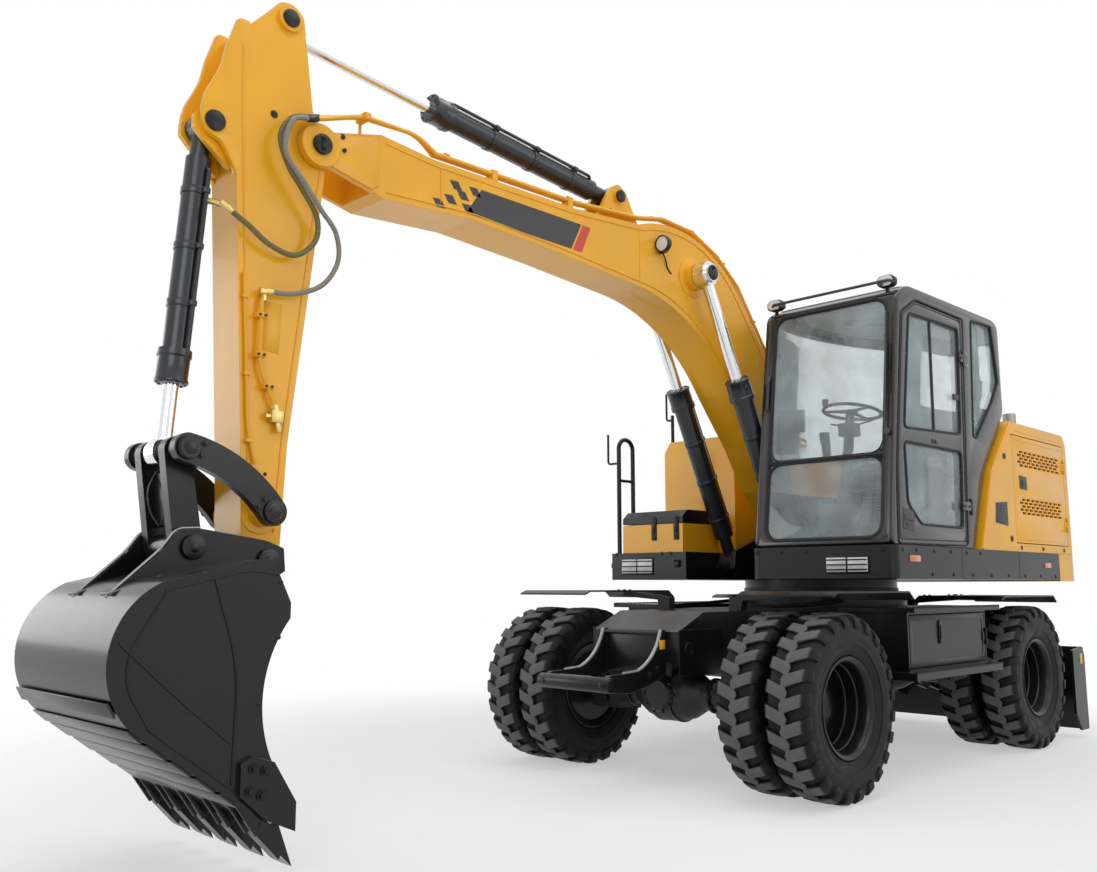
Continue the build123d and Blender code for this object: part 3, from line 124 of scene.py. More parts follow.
class Finish(Nodes):
    """Material with one surface node."""

    def __init__(self, name, colour, **constants):
        self.material = bpy.data.materials.new(name)
        self.material.use_nodes = True
        super().__init__(self.material.node_tree)
        self.surface = self.tree.nodes["Principled BSDF"]
        self.surface.inputs["Base Color"].default_value = (*colour, 1)
        self.material.diffuse_color = (*colour, 1)
        for socket, value in constants.items():
            self.surface.inputs[socket.replace("_", " ")].default_value = value

    def feed(self, socket, value):
        self.link(self.surface.inputs[socket], value)

    def place(self):
        """Place on the piece in metres."""
        return self.node("TexCoord", output="Object")

    def noise(self, scale, detail=3.0, stretch=None):
        where = self.place()
        if stretch:
            where = self.node("Mapping", inputs={"Vector": where, "Scale": stretch})
        return self.node("TexNoise", inputs={"Vector": where, "Scale": scale, "Detail": detail})

    def along(self, axis):
        return self.node("SeparateXYZ", inputs={"Vector": self.place()}, output=axis)

    def mix(self, factor, first, second):
        inputs = {0: factor, 6: first, 7: second}
        return self.node("Mix", {"data_type": "RGBA"}, inputs, output=2)

    def edges(self, radius):
        """Rounded normal and a mask that is 1 along sharp edges."""
        soft = self.node("Bevel", {"samples": 4}, {"Radius": radius})
        flat = self.node("NewGeometry", output="Normal")
        settings = {"operation": "DOT_PRODUCT"}
        same = self.node("VectorMath", settings, {0: soft, 1: flat}, output="Value")
        return soft, (1 - same).step(0.01, 0.12)

    def surface_shader(self):
        return Value(self, self.surface.outputs[0])

    def show(self, shader):
        """Make this shader what the material shows."""
        self.link(self.tree.nodes["Material Output"].inputs["Surface"], shader)

    def relief(self, height, distance, normal=None):
        inputs = {"Height": height, "Strength": 1.0, "Distance": distance}
        if normal is not None:
            inputs["Normal"] = normal
        self.feed("Normal", self.node("Bump", inputs=inputs))


def shade(colour, factor):
    return (*[min(1.0, part * factor) for part in colour], 1)


def paint(name, colour, rough, edge_radius, grain, dust, scuff, scuff_colour, **constants):
    """Sprayed steel: orange peel, soft edges, dust on what faces up, and scuffs along the edges."""
    finish = Finish(name, colour, **constants)
    soft, edge = finish.edges(edge_radius)
    tone = finish.noise(2.2, 4)
    fine = finish.noise(38, 5)
    body = finish.mix(tone.step(0.3, 0.75), shade(colour, 0.94), shade(colour, 1.05))
    up = finish.node("SeparateXYZ", inputs={"Vector": finish.node("NewGeometry", output="Normal")},
        output=2)
    dusty = up.step(0.2, 0.95) * finish.noise(9, 6).step(0.35, 0.8) * dust
    body = finish.mix(dusty, body, (0.52, 0.47, 0.40, 1))
    chipped = edge * finish.noise(16, 6).step(0.56, 0.66) * scuff
    body = finish.mix(chipped, body, (*scuff_colour, 1))
    finish.feed("Base Color", body)
    finish.feed("Roughness", rough + 0.08 * tone + 0.06 * fine + 0.3 * dusty + 0.2 * chipped)
    finish.relief(finish.noise(grain, 2), 0.00025, soft)
    return finish


yellow = paint(
    "yellow_paint", (0.89, 0.43, 0.012), 0.26, 0.004, 420, 0.06, 0.15, (0.42, 0.22, 0.03),
    Coat_Weight=0.25, Coat_Roughness=0.08, Specular_IOR_Level=0.35,
)
black = paint(
    "black_paint", (0.006, 0.006, 0.007), 0.26, 0.003, 380, 0.06, 0.35, (0.08, 0.08, 0.08),
    Coat_Weight=0.1, Coat_Roughness=0.12, Specular_IOR_Level=0.26,
)
gloss_black = paint(
    "gloss_black", (0.006, 0.006, 0.007), 0.16, 0.003, 420, 0.05, 0.15, (0.05, 0.05, 0.05),
    Coat_Weight=0.5, Coat_Roughness=0.05, Specular_IOR_Level=0.4,
)
cab_black = paint(
    "cab_paint", (0.016, 0.017, 0.020), 0.20, 0.004, 420, 0.03, 0.05, (0.06, 0.06, 0.06),
    Coat_Weight=0.45, Coat_Roughness=0.06, Specular_IOR_Level=0.4,
)
bucket_black = paint(
    "bucket_paint", (0.006, 0.006, 0.007), 0.24, 0.004, 160, 0.06, 0.7, (0.24, 0.24, 0.24),
    Coat_Weight=0.15, Coat_Roughness=0.12, Specular_IOR_Level=0.3,
)
cast = paint(
    "cast_iron", (0.012, 0.012, 0.013), 0.40, 0.005, 90, 0.20, 0.4, (0.12, 0.11, 0.10),
    Specular_IOR_Level=0.4,
)
hub_grey = paint(
    "hub_paint", (0.055, 0.056, 0.060), 0.34, 0.003, 240, 0.15, 0.4, (0.16, 0.16, 0.16),
    Specular_IOR_Level=0.4,
)
cylinder_grey = paint(
    "cylinder_paint", (0.012, 0.014, 0.019), 0.24, 0.003, 300, 0.04, 0.2, (0.10, 0.10, 0.11),
    Coat_Weight=0.3, Coat_Roughness=0.1, Specular_IOR_Level=0.4,
)


def metal(name, colour, rough, scratches):
    finish = Finish(name, colour, Metallic=1.0, Roughness=rough)
    streak = finish.noise(60, 4, (1, 1, 0.08))
    finish.feed("Base Color", finish.mix(streak, shade(colour, 0.9), shade(colour, 1.06)))
    finish.feed("Roughness", rough + scratches * streak)
    finish.relief(streak, 0.00008)
    return finish


chrome = metal("chrome_rod", (0.78, 0.79, 0.80), 0.10, 0.10)
brass = metal("yellow_zinc", (0.66, 0.52, 0.20), 0.32, 0.15)
worn_steel = metal("worn_steel", (0.34, 0.33, 0.32), 0.38, 0.25)

tyre_rubber = Finish("tyre_rubber", (0.008, 0.008, 0.009), Specular_IOR_Level=0.2)
ahead, height = tyre_rubber.along(0), tyre_rubber.along(2) - AXLE_Z / 1000
front_gap = (ahead - (SLEW_X + FRONT_AXLE_X) / 1000).abs()
rear_gap = (ahead - (SLEW_X + REAR_AXLE_X) / 1000).abs()
axle_gap = front_gap.math("MINIMUM", front_gap, rear_gap)
reach = (axle_gap * axle_gap + height * height) ** 0.5
grime = tyre_rubber.noise(14, 7).step(0.42, 0.75)
crown = reach.step(0.496, 0.507) * (0.55 + 0.45 * tyre_rubber.noise(40, 5))
carcass_tone = tyre_rubber.mix(grime, (0.004, 0.004, 0.005, 1), (0.014, 0.014, 0.014, 1))
tyre_rubber.feed("Base Color", tyre_rubber.mix(crown, carcass_tone, (0.150, 0.154, 0.158, 1)))
tyre_rubber.feed("Roughness", 0.48 + 0.25 * grime + 0.1 * crown)
tyre_rubber.relief(tyre_rubber.noise(240, 4), 0.0006)

glass = Finish(
    "window_glass", (0.93, 0.96, 0.97), Roughness=0.01, IOR=1.45, Transmission_Weight=1.0,
)
haze = glass.noise(5, 5).step(0.3, 0.8)
glass.feed("Base Color", glass.mix(haze, (0.91, 0.95, 0.96, 1), (0.96, 0.98, 0.98, 1)))
dust_film = glass.node("BsdfDiffuse", inputs={"Color": (0.66, 0.80, 0.84, 1)})
glass.show(glass.node("MixShader", inputs={0: 0.10 + 0.16 * haze, 1: glass.surface_shader(), 2: dust_film}))

rubber = Finish("moulded_rubber", (0.020, 0.020, 0.021), Specular_IOR_Level=0.3)
rubber.feed("Roughness", 0.5 + 0.2 * rubber.noise(50, 4))
rubber.relief(rubber.noise(500, 2), 0.0003)

plastic = Finish("grained_plastic", (0.050, 0.051, 0.054))
pores = plastic.node("TexVoronoi", inputs={"Vector": plastic.place(), "Scale": 650.0})
plastic.feed("Roughness", 0.48 + 0.15 * plastic.noise(20, 3))
plastic.relief(pores, 0.0003)

pale_liner = Finish("pale_liner", (0.50, 0.55, 0.58))
fleece = pale_liner.noise(160, 5)
pale_liner.feed("Base Color", pale_liner.mix(fleece, (0.46, 0.51, 0.54, 1), (0.56, 0.61, 0.64, 1)))
pale_liner.feed("Roughness", 0.7 + 0.2 * fleece)
pale_liner.relief(fleece, 0.0005)

seat_cloth = Finish("seat_cloth", (0.045, 0.047, 0.052), Sheen_Weight=0.35, Sheen_Roughness=0.5)
warp = seat_cloth.node("TexWave", {"bands_direction": "X"}, {"Vector": seat_cloth.place(), "Scale": 260.0})
weft = seat_cloth.node("TexWave", {"bands_direction": "Z"}, {"Vector": seat_cloth.place(), "Scale": 260.0})
weave = warp * weft
seat_cloth.feed("Base Color", seat_cloth.mix(weave, (0.025, 0.026, 0.030, 1), (0.085, 0.088, 0.096, 1)))
seat_cloth.feed("Roughness", 0.75 + 0.2 * weave)
seat_cloth.relief(weave, 0.0008)

lens = Finish("lamp_lens", (0.80, 0.82, 0.84), Roughness=0.08, Coat_Weight=0.8, Coat_Roughness=0.03)
flutes = lens.node("TexWave", {"bands_direction": "Y"}, {"Vector": lens.place(), "Scale": 28.0})
lens.feed("Base Color", lens.mix(flutes, (0.62, 0.64, 0.67, 1), (0.88, 0.89, 0.90, 1)))
lens.relief(flutes, 0.001)

amber = Finish("amber_lens", (0.72, 0.16, 0.01), Roughness=0.12, Coat_Weight=0.6)
facets = amber.node("TexVoronoi", inputs={"Vector": amber.place(), "Scale": 220.0})
amber.feed("Base Color", amber.mix(facets, (0.55, 0.10, 0.006, 1), (0.85, 0.24, 0.02, 1)))
amber.relief(facets, 0.0006)


def braid(name, dark, light):
    finish = Finish(name, dark, Specular_IOR_Level=0.4)
    settings = {"bands_direction": "DIAGONAL"}
    one = finish.node("TexWave", settings, {"Vector": finish.place(), "Scale": 75.0})
    other = finish.node("TexWave", {"bands_direction": "Z"}, {"Vector": finish.place(), "Scale": 95.0})
    strands = one * other
    finish.feed("Base Color", finish.mix(strands, (*dark, 1), (*light, 1)))
    finish.feed("Roughness", 0.42 + 0.25 * strands)
    finish.relief(strands, 0.0009)
    return finish


signal_red = paint(
    "red_paint", (0.62, 0.035, 0.02), 0.26, 0.003, 420, 0.03, 0.1, (0.3, 0.02, 0.02), Coat_Weight=0.25,
)
olive_braid = braid("olive_braid", (0.10, 0.085, 0.03), (0.36, 0.31, 0.13))
grey_braid = braid("grey_braid", (0.16, 0.15, 0.13), (0.52, 0.50, 0.45))

FINISHES = {
    yellow: (
        "arm arm_pipes boom boom_pipes counterweight engine_hood hood_door_left hood_door_right hood_lid"
        " side_tank tool_box"
    ),
    black: (
        "blade blade_cylinder_barrels chassis_frame fenders front_guard locker_door_left"
        " locker_door_right platform rails side_steps tool_box_lid"
        " rims_front_left rims_front_right rims_rear_left rims_rear_right"
    ),
    cab_black: "cab_door cab_frame",
    bucket_black: "bucket bucket_teeth bucket_link rocker_links",
    cast: "driveline engine_block front_axle knuckle_left knuckle_right rear_axle slew_ring",
    cylinder_grey: (
        "arm_cylinder_barrel boom_cylinder_barrel_left boom_cylinder_barrel_right bucket_cylinder_barrel"
    ),
    chrome: (
        "arm_cylinder_rod blade_cylinder_rods boom_cylinder_rod_left boom_cylinder_rod_right"
        " bucket_cylinder_rod"
    ),
    tyre_rubber: "tyres_front_left tyres_front_right tyres_rear_left tyres_rear_right",
    glass: "cab_glass door_glass",
    plastic: "cab_controls",
    seat_cloth: "cab_seat",
    lens: "lamps",
}
for finish, nodes in FINISHES.items():
    for node in nodes.split():
        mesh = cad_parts[node].data
        mesh.materials.clear()
        mesh.materials.append(finish.material)


# Making pieces

ROUND_HANDLE = 0.56  # share of the way to the corner at which a Bezier handle follows an arc


def piece(name, mesh, finish, body, *nodes, sharp=35):
    """Turn a bmesh into a finished piece that rides on a body."""
    bmesh.ops.recalc_face_normals(mesh, faces=mesh.faces)
    for face in mesh.faces:
        face.smooth = True
    for edge in mesh.edges:
        edge.smooth = len(edge.link_faces) == 2 and edge.calc_face_angle(0) < radians(sharp)
    data = bpy.data.meshes.new(name)
    mesh.to_mesh(data)
    mesh.free()
    made = bpy.data.objects.new(name, data)
    bpy.context.collection.objects.link(made)
    data.materials.append(finish.material)
    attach(made, body)
    if nodes:
        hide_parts(*nodes)
    return made


def soften(mesh, edges, radius):
    """Round these edges off."""
    bmesh.ops.bevel(
        mesh, geom=list(edges), offset=radius, segments=2, profile=0.5, affect="EDGES", material=-1,
    )


def turn_to(direction):
    """Turns local Z to this direction."""
    return Vector(direction).to_track_quat("Z", "Y").to_matrix().to_4x4()


def rod(mesh, start, end, radius, end_radius=None, sides=24, round_off=0):
    """Round bar between two places in metres."""
    start, end = Vector(start), Vector(end)
    matrix = Matrix.Translation((start + end) / 2) @ turn_to(end - start)
    wide = radius if end_radius is None else end_radius
    made = bmesh.ops.create_cone(
        mesh, cap_ends=True, segments=sides, radius1=radius, radius2=wide,
        depth=(end - start).length, matrix=matrix,
    )
    if round_off:
        rims = {e for v in made["verts"] for e in v.link_edges if len(e.link_faces) == 2
                and e.calc_face_angle(0) > 0.9}
        soften(mesh, rims, round_off)


def slab(mesh, low, high, round_off=0, turn=None):
    """Straight block between two corners in metres, with soft edges."""
    low, high = Vector(low), Vector(high)
    size = high - low
    matrix = Matrix.Translation((low + high) / 2)
    if turn is not None:
        matrix = matrix @ turn
    matrix = matrix @ Matrix.Diagonal((*size, 1))
    made = bmesh.ops.create_cube(mesh, size=1, matrix=matrix)
    if round_off:
        soften(mesh, {e for v in made["verts"] for e in v.link_edges}, round_off)


def bolt(mesh, place, direction, radius, height=None, washer=True):
    """Hex head with a washer, standing on a surface."""
    place, direction = Vector(place), Vector(direction).normalized()
    height = height or radius * 1.2
    if washer:
        rod(mesh, place, place + direction * radius * 0.3, radius * 1.55, sides=16)
    rod(mesh, place, place + direction * height, radius, radius * 0.96, sides=6)


def ring_of(count, centre, axis, radius, start=0.0):
    """Places spaced evenly round an axis."""
    turn = turn_to(axis)
    spots = []
    for index in range(count):
        angle = start + 2 * pi * index / count
        spots.append(Vector(centre) + turn @ Vector((radius * cos(angle), radius * sin(angle), 0)))
    return spots


def lathe(mesh, profile, centre, axis, steps=48):
    """Turned part: (distance along the axis, radius) pairs spun round the axis, in metres."""
    turn = turn_to(axis)
    verts = [mesh.verts.new(Vector(centre) + turn @ Vector((r, 0, a))) for a, r in profile]
    edges = [mesh.edges.new(pair) for pair in zip(verts, verts[1:])]
    bmesh.ops.spin(
        mesh, geom=verts + edges, cent=centre, axis=turn @ Vector((0, 0, 1)), angle=2 * pi,
        steps=steps, use_merge=True,
    )
    bmesh.ops.remove_doubles(mesh, verts=mesh.verts, dist=1e-6)


def tube_curve(radius, resolution):
    """Curve that makes a tube of this radius with closed ends."""
    curve = bpy.data.curves.new("tube_line", "CURVE")
    curve.dimensions = "3D"
    curve.bevel_depth = radius
    curve.bevel_resolution = resolution
    curve.use_fill_caps = True
    return curve


def rounded(before, corner, after, bend):
    """Two knots that round a corner off, each a place with its left and right handle."""
    reach = min(bend, (corner - before).length * 0.45, (after - corner).length * 0.45)
    enter = corner + (before - corner).normalized() * reach
    leave = corner + (after - corner).normalized() * reach
    return [(enter, enter, enter.lerp(corner, ROUND_HANDLE)),
        (leave, leave.lerp(corner, ROUND_HANDLE), leave)]


def add_knots(curve, knots, closed):
    spline = curve.splines.new("BEZIER")
    spline.use_cyclic_u = closed
    spline.bezier_points.add(len(knots) - 1)
    for point, (place, left, right) in zip(spline.bezier_points, knots):
        point.co, point.handle_left, point.handle_right = place, left, right
        point.handle_left_type = point.handle_right_type = "FREE"


def mesh_of(curve):
    """Mesh data of a curve, which is used up."""
    holder = bpy.data.objects.new(curve.name, curve)
    made = bpy.data.meshes.new_from_object(holder)
    bpy.data.objects.remove(holder)
    bpy.data.curves.remove(curve)
    return made


def pour(mesh, data):
    """Add mesh data to a bmesh, which uses it up."""
    mesh.from_mesh(data)
    bpy.data.meshes.remove(data)


def pipe(mesh, points, radius, bend=0.06, sides=12, closed=False):
    """Bent pipe through these places in metres, with round corners."""
    curve = tube_curve(radius, sides // 4)
    curve.resolution_u = 6
    corners = [Vector(p) for p in points]
    if closed:
        corners = [corners[-1], *corners, corners[0]]
    knots = [] if closed else [(corners[0],) * 3]
    for trio in zip(corners, corners[1:], corners[2:]):
        knots += rounded(*trio, bend)
    if not closed:
        knots.append((corners[-1],) * 3)
    add_knots(curve, knots, closed)
    pour(mesh, mesh_of(curve))


def plate(mesh, points, y_low, y_high, round_off=0.002):
    """Flat plate across the machine from an outline in millimetres."""
    face = mesh.faces.new([mesh.verts.new(at(x, y_low, z)) for x, z in points])
    made = bmesh.ops.extrude_face_region(mesh, geom=[face])
    fresh = [g for g in made["geom"] if isinstance(g, bmesh.types.BMVert)]
    bmesh.ops.translate(mesh, verts=fresh, vec=(0, (y_high - y_low) / 1000, 0))
    if round_off:
        verts = set(face.verts) | set(fresh)
        soften(mesh, {e for v in verts for e in v.link_edges}, round_off)


def boss(mesh, x, z, y_from, y_to, radius, sides=32, round_off=0.003):
    """Round boss across the machine; every size in millimetres, the rounding in metres."""
    rod(mesh, at(x, y_from, z), at(x, y_to, z), radius / 1000, sides=sides, round_off=round_off)


def box(mesh, x_range, y_range, z_range, round_off=0.002, turn=None):
    """Straight block between limits in millimetres."""
    xs, ys, zs = sorted(x_range), sorted(y_range), sorted(z_range)
    slab(mesh, at(xs[0], ys[0], zs[0]), at(xs[1], ys[1], zs[1]), round_off, turn)


def path(*places):
    """Places on the machine in millimetres, as a list in metres."""
    return [at(*place) for place in places]


def level(y, route):
    """Places on a plane across the machine from (x, z) pairs, as a list in metres."""
    return [at(x, y, z) for x, z in route]


def across(edge, near, far, middle=0):
    """Distances to the left for near..far outwards from a middle plane, on the left (1) or the right (-1)."""
    return sorted((middle + edge * near, middle + edge * far))


def mirrored(edge, near, far):
    """The same, measured from the boom's middle plane."""
    return across(edge, near, far, BOOM_Y)


def section(pairs, edge=1):
    """Profile for lathe from (side, radius) pairs in millimetres."""
    return [(edge * side / 1000, radius / 1000) for side, radius in pairs]


# Tyres: half the carcass from the middle of the tread to the bead, as (side, radius) in millimetres
CARCASS = [
    (0, 489), (60, 488), (94, 485), (108, 476), (116, 462), (121, 446), (122.5, 444), (123, 436),
    (121.5, 434),
    (124.5, 418), (126.5, 398), (125, 372), (121, 350), (122, 346), (120, 340), (118.5, 343), (112, 320),
    (104, 300), (106, 298), (103, 290), (96, 281), (91.4, 279), (91.4, 262),
]
LUG = [
    (-34, -16), (2, -24), (34, -8), (48, 40), (70, 92), (84, 128), (84, 158),
    (16, 158), (12, 128), (-4, 92), (-22, 44), (-40, 6),
]
LUGS = 24
TREAD_RADIUS = 510
TREAD_ARC = 498  # radius at which the lug's length is laid round the tyre
# where a lug begins to thin out, over what length, and by what share
SHOULDER, SHOULDER_RUN, SHOULDER_LOSS = 96, 62, 0.62
WHEELS = [
    (f"{end}_{hand}", axle_x, edge)
    for end, axle_x in (("front", FRONT_AXLE_X), ("rear", REAR_AXLE_X))
    for hand, edge in (("left", 1), ("right", -1))
]
TYRE_Y = (780, 1090)


def carcass_place(reach):
    """Side, radius and outward direction at this distance along the carcass from the tread's middle."""
    left = abs(reach)
    for (side, radius), (next_side, next_radius) in zip(CARCASS, CARCASS[1:]):
        run = hypot(next_side - side, next_radius - radius)
        if left <= run or next_radius < 300:
            share = left / run
            out = ((radius - next_radius) / run, (next_side - side) / run)
            return side + share * (next_side - side), radius + share * (next_radius - radius), out
        left -= run


def lug_shape():
    """One lug laid flat: x along the tread, y across it, z its height."""
    mesh = bmesh.new()
    face = mesh.faces.new([mesh.verts.new((u, v, -6)) for u, v in LUG])
    made = bmesh.ops.extrude_face_region(mesh, geom=[face])
    top = [g for g in made["geom"] if isinstance(g, bmesh.types.BMVert)]
    bmesh.ops.translate(mesh, verts=top, vec=(0, 0, 27))
    crown = [g for g in made["geom"] if isinstance(g, bmesh.types.BMFace)]
    bmesh.ops.scale(mesh, verts=top, vec=(0.9, 0.985, 1), space=Matrix.Translation((-20, -68, 0)))
    soften(mesh, {e for f in crown for e in f.edges}, 3)
    for cut in (60, 94, 106, 120, 134, 146):
        bmesh.ops.bisect_plane(
            mesh, geom=mesh.verts[:] + mesh.edges[:] + mesh.faces[:], plane_co=(0, cut, 0),
            plane_no=(0, 1, 0),
        )
    bmesh.ops.recalc_face_normals(mesh, faces=mesh.faces)
    data = bpy.data.meshes.new("lug")
    mesh.to_mesh(data)
    mesh.free()
    return data


lug_flat = lug_shape()


def tyre(mesh, axle_x, tyre_y, turn):
    """Carcass spun from its half section, with lugs bent round it in two rows."""
    half = [*CARCASS, (88, 254)]
    whole = [(-side, radius) for side, radius in reversed(half)] + half[1:]
    centre = at(axle_x, tyre_y, AXLE_Z)
    lathe(mesh, section(whole), centre, (0, 1, 0), 96)
    for hand in (1, -1):
        for index in range(LUGS):
            mesh.verts.ensure_lookup_table()
            start = len(mesh.verts)
            mesh.from_mesh(lug_flat)
            mesh.verts.ensure_lookup_table()
            shift = (index + (0.5 if hand < 0 else 0)) * 2 * pi / LUGS + turn
            for vert in mesh.verts[start:]:
                u, v, height = vert.co
                side, radius, out = carcass_place(max(v, 0))
                side += min(v, 0)
                height *= 1 - SHOULDER_LOSS * max(0, min(1, (v - SHOULDER) / SHOULDER_RUN))
                side = hand * (side + out[0] * height)
                reach = min(radius + out[1] * height, TREAD_RADIUS)
                angle = u / TREAD_ARC + shift
                vert.co = centre + Vector((reach * cos(angle), side, reach * sin(angle))) / 1000


for corner, axle_x, edge in WHEELS:
    treads = bmesh.new()
    for index, tyre_y in enumerate(TYRE_Y):
        tyre(treads, axle_x, edge * tyre_y, 0.06 * index + 0.02 * edge)
    piece(f"tyres_dressed_{corner}", treads, tyre_rubber, f"wheel_{corner}", f"tyres_{corner}", sharp=32)


# Rims: (distance from the machine's middle, radius) in millimetres, spun round the axle
RIM = [
    (700, 0), (700, 225), (690, 240), (680, 256), (676, 271), (679, 276), (685, 276), (689, 262),
    (694, 251),
    (866, 251), (870, 262), (875, 276), (882, 276), (886, 262), (891, 250), (980, 250), (984, 262),
    (988, 276),
    (995, 276), (998, 262), (1003, 251), (1176, 251), (1181, 261), (1185, 272), (1189, 276), (1194, 273),
    (1192, 264), (1186, 254), (1178, 246), (1160, 240), (1112, 236), (1106, 229), (1046, 226), (1040, 220),
    (1004, 216), (968, 210), (948, 196), (938, 176), (934, 150), (936, 124), (944, 116), (980, 112),
    (1004, 110),
    (1007, 104), (1007, 0),
]

CAP = [(1006, 0), (1006, 96), (1010, 98), (1012, 92), (1011.5, 60), (1012, 58), (1012, 0)]

for corner, axle_x, edge in WHEELS:
    rims, caps = bmesh.new(), bmesh.new()
    body, outward, middle = f"wheel_{corner}", (0, edge, 0), at(axle_x, 0, AXLE_Z)
    lathe(rims, section(RIM, edge), middle, (0, 1, 0), 72)
    for spot in ring_of(10, at(axle_x, edge * 934, AXLE_Z), outward, 0.152):
        bolt(rims, spot, outward, 0.013, 0.024)
    rod(rims, at(axle_x, edge * 1046, 738), at(axle_x, edge * 1085, 728), 0.004, sides=8)
    piece(f"rims_dressed_{corner}", rims, black, body, f"rims_{corner}", sharp=28)
    lathe(caps, section(CAP, edge), middle, (0, 1, 0), 48)
    for spot in ring_of(5, at(axle_x, edge * 1004, AXLE_Z), outward, 0.078, 0.3):
        rod(caps, spot, spot + Vector((0, edge * 0.008, 0)), 0.011, sides=6)
    piece(f"hub_caps_{corner}", caps, hub_grey, body, sharp=28)


# Cab
LEFT_Y, RIGHT_Y = 1180, 206
CAB_Y = (LEFT_Y + RIGHT_Y) / 2
LEAN = atan2(230, 1609.7)


def on_screen(y, height, depth=0):
    """Place on the leaning front of the cab: height up the slope, depth behind it."""
    return at(
        1160 - height * sin(LEAN) - depth * cos(LEAN), y, 1410.3 + height * cos(LEAN) - depth * sin(LEAN),
    )


def screen_outline(half_width, low, high, depth):
    corners = ((1, low), (1, high), (-1, high), (-1, low))
    return [on_screen(CAB_Y + side * half_width, height, depth) for side, height in corners]


CAB = [
    (1160, 1410.3), (930, 3020), (800, 3085), (-560, 3100), (-640, 3060), (-645, 2410), (-240, 1970),
    (-20, 1410.3),
]
DOORWAY = [(1078, 1421), (1055, 1902), (903, 2890), (699, 3006), (16, 3007), (94, 1434)]
DOOR = [(1072, 1427), (1049, 1901), (897, 2883), (696, 2999), (22, 3000), (100, 1440)]
UPPER_PANE = [(927, 2144), (794, 2904), (60, 2925), (105, 2182)]
LOWER_PANE = [(754, 1546), (925, 1671), (936, 2057), (108, 2064), (148, 1547)]
SIDE_PANE = [(-98, 2187), (-167, 3028), (-511, 3045), (-587, 2640), (-459, 2479), (-149, 2180)]
RIGHT_PANE = [
    (1000, 1800), (860, 2900), (780, 2970), (-520, 2990), (-580, 2930), (-580, 2450), (-300, 2170),
    (-70, 1800),
]
HINGE_X, HINGE_Y = 16, 1188.3
HINGE_Z = (1695, 2720)
SCREEN_HALF, SCREEN_LOW, SCREEN_HIGH = 415, 45, 1605
BAR_LOW, BAR_HIGH = 557, 581
HATCH = (310, 310, (-130, 0))
REAR_WINDOW = (380, 220, (0, -20))


def with_corner(outline, corner):
    """An outline and the radius of its corners; an outline may carry its own radius."""
    return outline if isinstance(outline, tuple) else (outline, corner)


def panel(mesh, outlines, matrix, thickness, edge, corner=0.03):
    """Sheet with rounded rims from flat outlines in metres, the first its rim and the rest its openings."""
    curve = bpy.data.curves.new("panel_line", "CURVE")
    curve.dimensions = "2D"
    curve.fill_mode = "BOTH"
    curve.extrude = thickness / 2 - edge
    curve.bevel_depth = edge
    curve.offset = -edge
    curve.bevel_resolution = 2
    curve.resolution_u = 6
    for outline in outlines:
        outline, bend = with_corner(outline, corner)
        corners = [Vector((*place, 0)) for place in outline]
        knots = []
        for trio in zip(corners[-1:] + corners[:-1], corners, corners[1:] + corners[:1]):
            knots += rounded(*trio, bend)
        add_knots(curve, knots, True)
    data = mesh_of(curve)
    data.transform(matrix)
    pour(mesh, data)
    bmesh.ops.remove_doubles(mesh, verts=mesh.verts, dist=2e-6)


def from_columns(*columns):
    """Matrix from three directions and an origin."""
    return Matrix([[column[row] for column in columns] for row in range(3)] + [[0, 0, 0, 1]])


def side_panel(mesh, outlines, y_low, y_high, edge=0.003, corner=0.03):
    """Panel along the machine from outlines of (forward, up) in millimetres."""
    flat = []
    for outline in outlines:
        outline, bend = with_corner(outline, corner)
        flat.append(([((SLEW_X + x) / 1000, z / 1000) for x, z in outline], bend))
    stand = from_columns((1, 0, 0), (0, 0, 1), (0, -1, 0), (0, (y_low + y_high) / 2000, 0))
    panel(mesh, flat, stand, (y_high - y_low) / 1000, edge)


def seal(mesh, outline, y, radius, bend=0.03):
    """Rubber line round an opening in a side."""
    pipe(mesh, level(y, outline), radius, bend, 8, closed=True)


def screen_matrix(depth):
    """Turns flat places (left of the middle, up the slope) into the cab's leaning front."""
    corner, up = on_screen(CAB_Y, 0, depth), Vector((-sin(LEAN), 0, cos(LEAN)))
    return from_columns((0, 1, 0), up, (cos(LEAN), 0, sin(LEAN)), corner)


def flat_matrix(origin, first, second):
    """Turns flat places into a plane through origin with these two directions."""
    first, second = Vector(first).normalized(), Vector(second).normalized()
    return from_columns(first, second, first.cross(second), origin)


def flat_box(x_half, y_half, middle=(0, 0)):
    """Flat rectangle round a middle, from millimetres to metres."""
    corners = ((-1, -1), (1, -1), (1, 1), (-1, 1))
    return [((middle[0] + x * x_half) / 1000, (middle[1] + y * y_half) / 1000) for x, y in corners]


def screen_box(half_width, low, high):
    """Flat rectangle on the cab's front between two heights up its slope."""
    return flat_box(half_width, (high - low) / 2, (0, (low + high) / 2))


# Cab body: round tubes along both side frames with sheet between them
cab_body = bmesh.new()
side_panel(cab_body, [(CAB, 0.05), DOORWAY, (SIDE_PANE, 0.02)], 1146, 1180, 0.010)
side_panel(cab_body, [(CAB, 0.05), RIGHT_PANE], 206, 240, 0.010)
CAB_TUBE = [
    (1128, 1440), (904, 3002), (792, 3056), (-554, 3071), (-612, 3040), (-617, 2420), (-214, 1984),
    (-10, 1440),
]
for y in (1153, 233):
    pipe(cab_body, level(y, CAB_TUBE), 0.027, 0.05, 16, closed=True)
opening = screen_box(SCREEN_HALF, SCREEN_LOW, SCREEN_HIGH)
panel(cab_body, [(screen_box(474, 12, 1612), 0.03), (opening, 0.095)], screen_matrix(22), 0.034, 0.008)
panel(cab_body, [screen_box(SCREEN_HALF + 1, BAR_LOW, BAR_HIGH)], screen_matrix(20), 0.024, 0.004, 0.003)
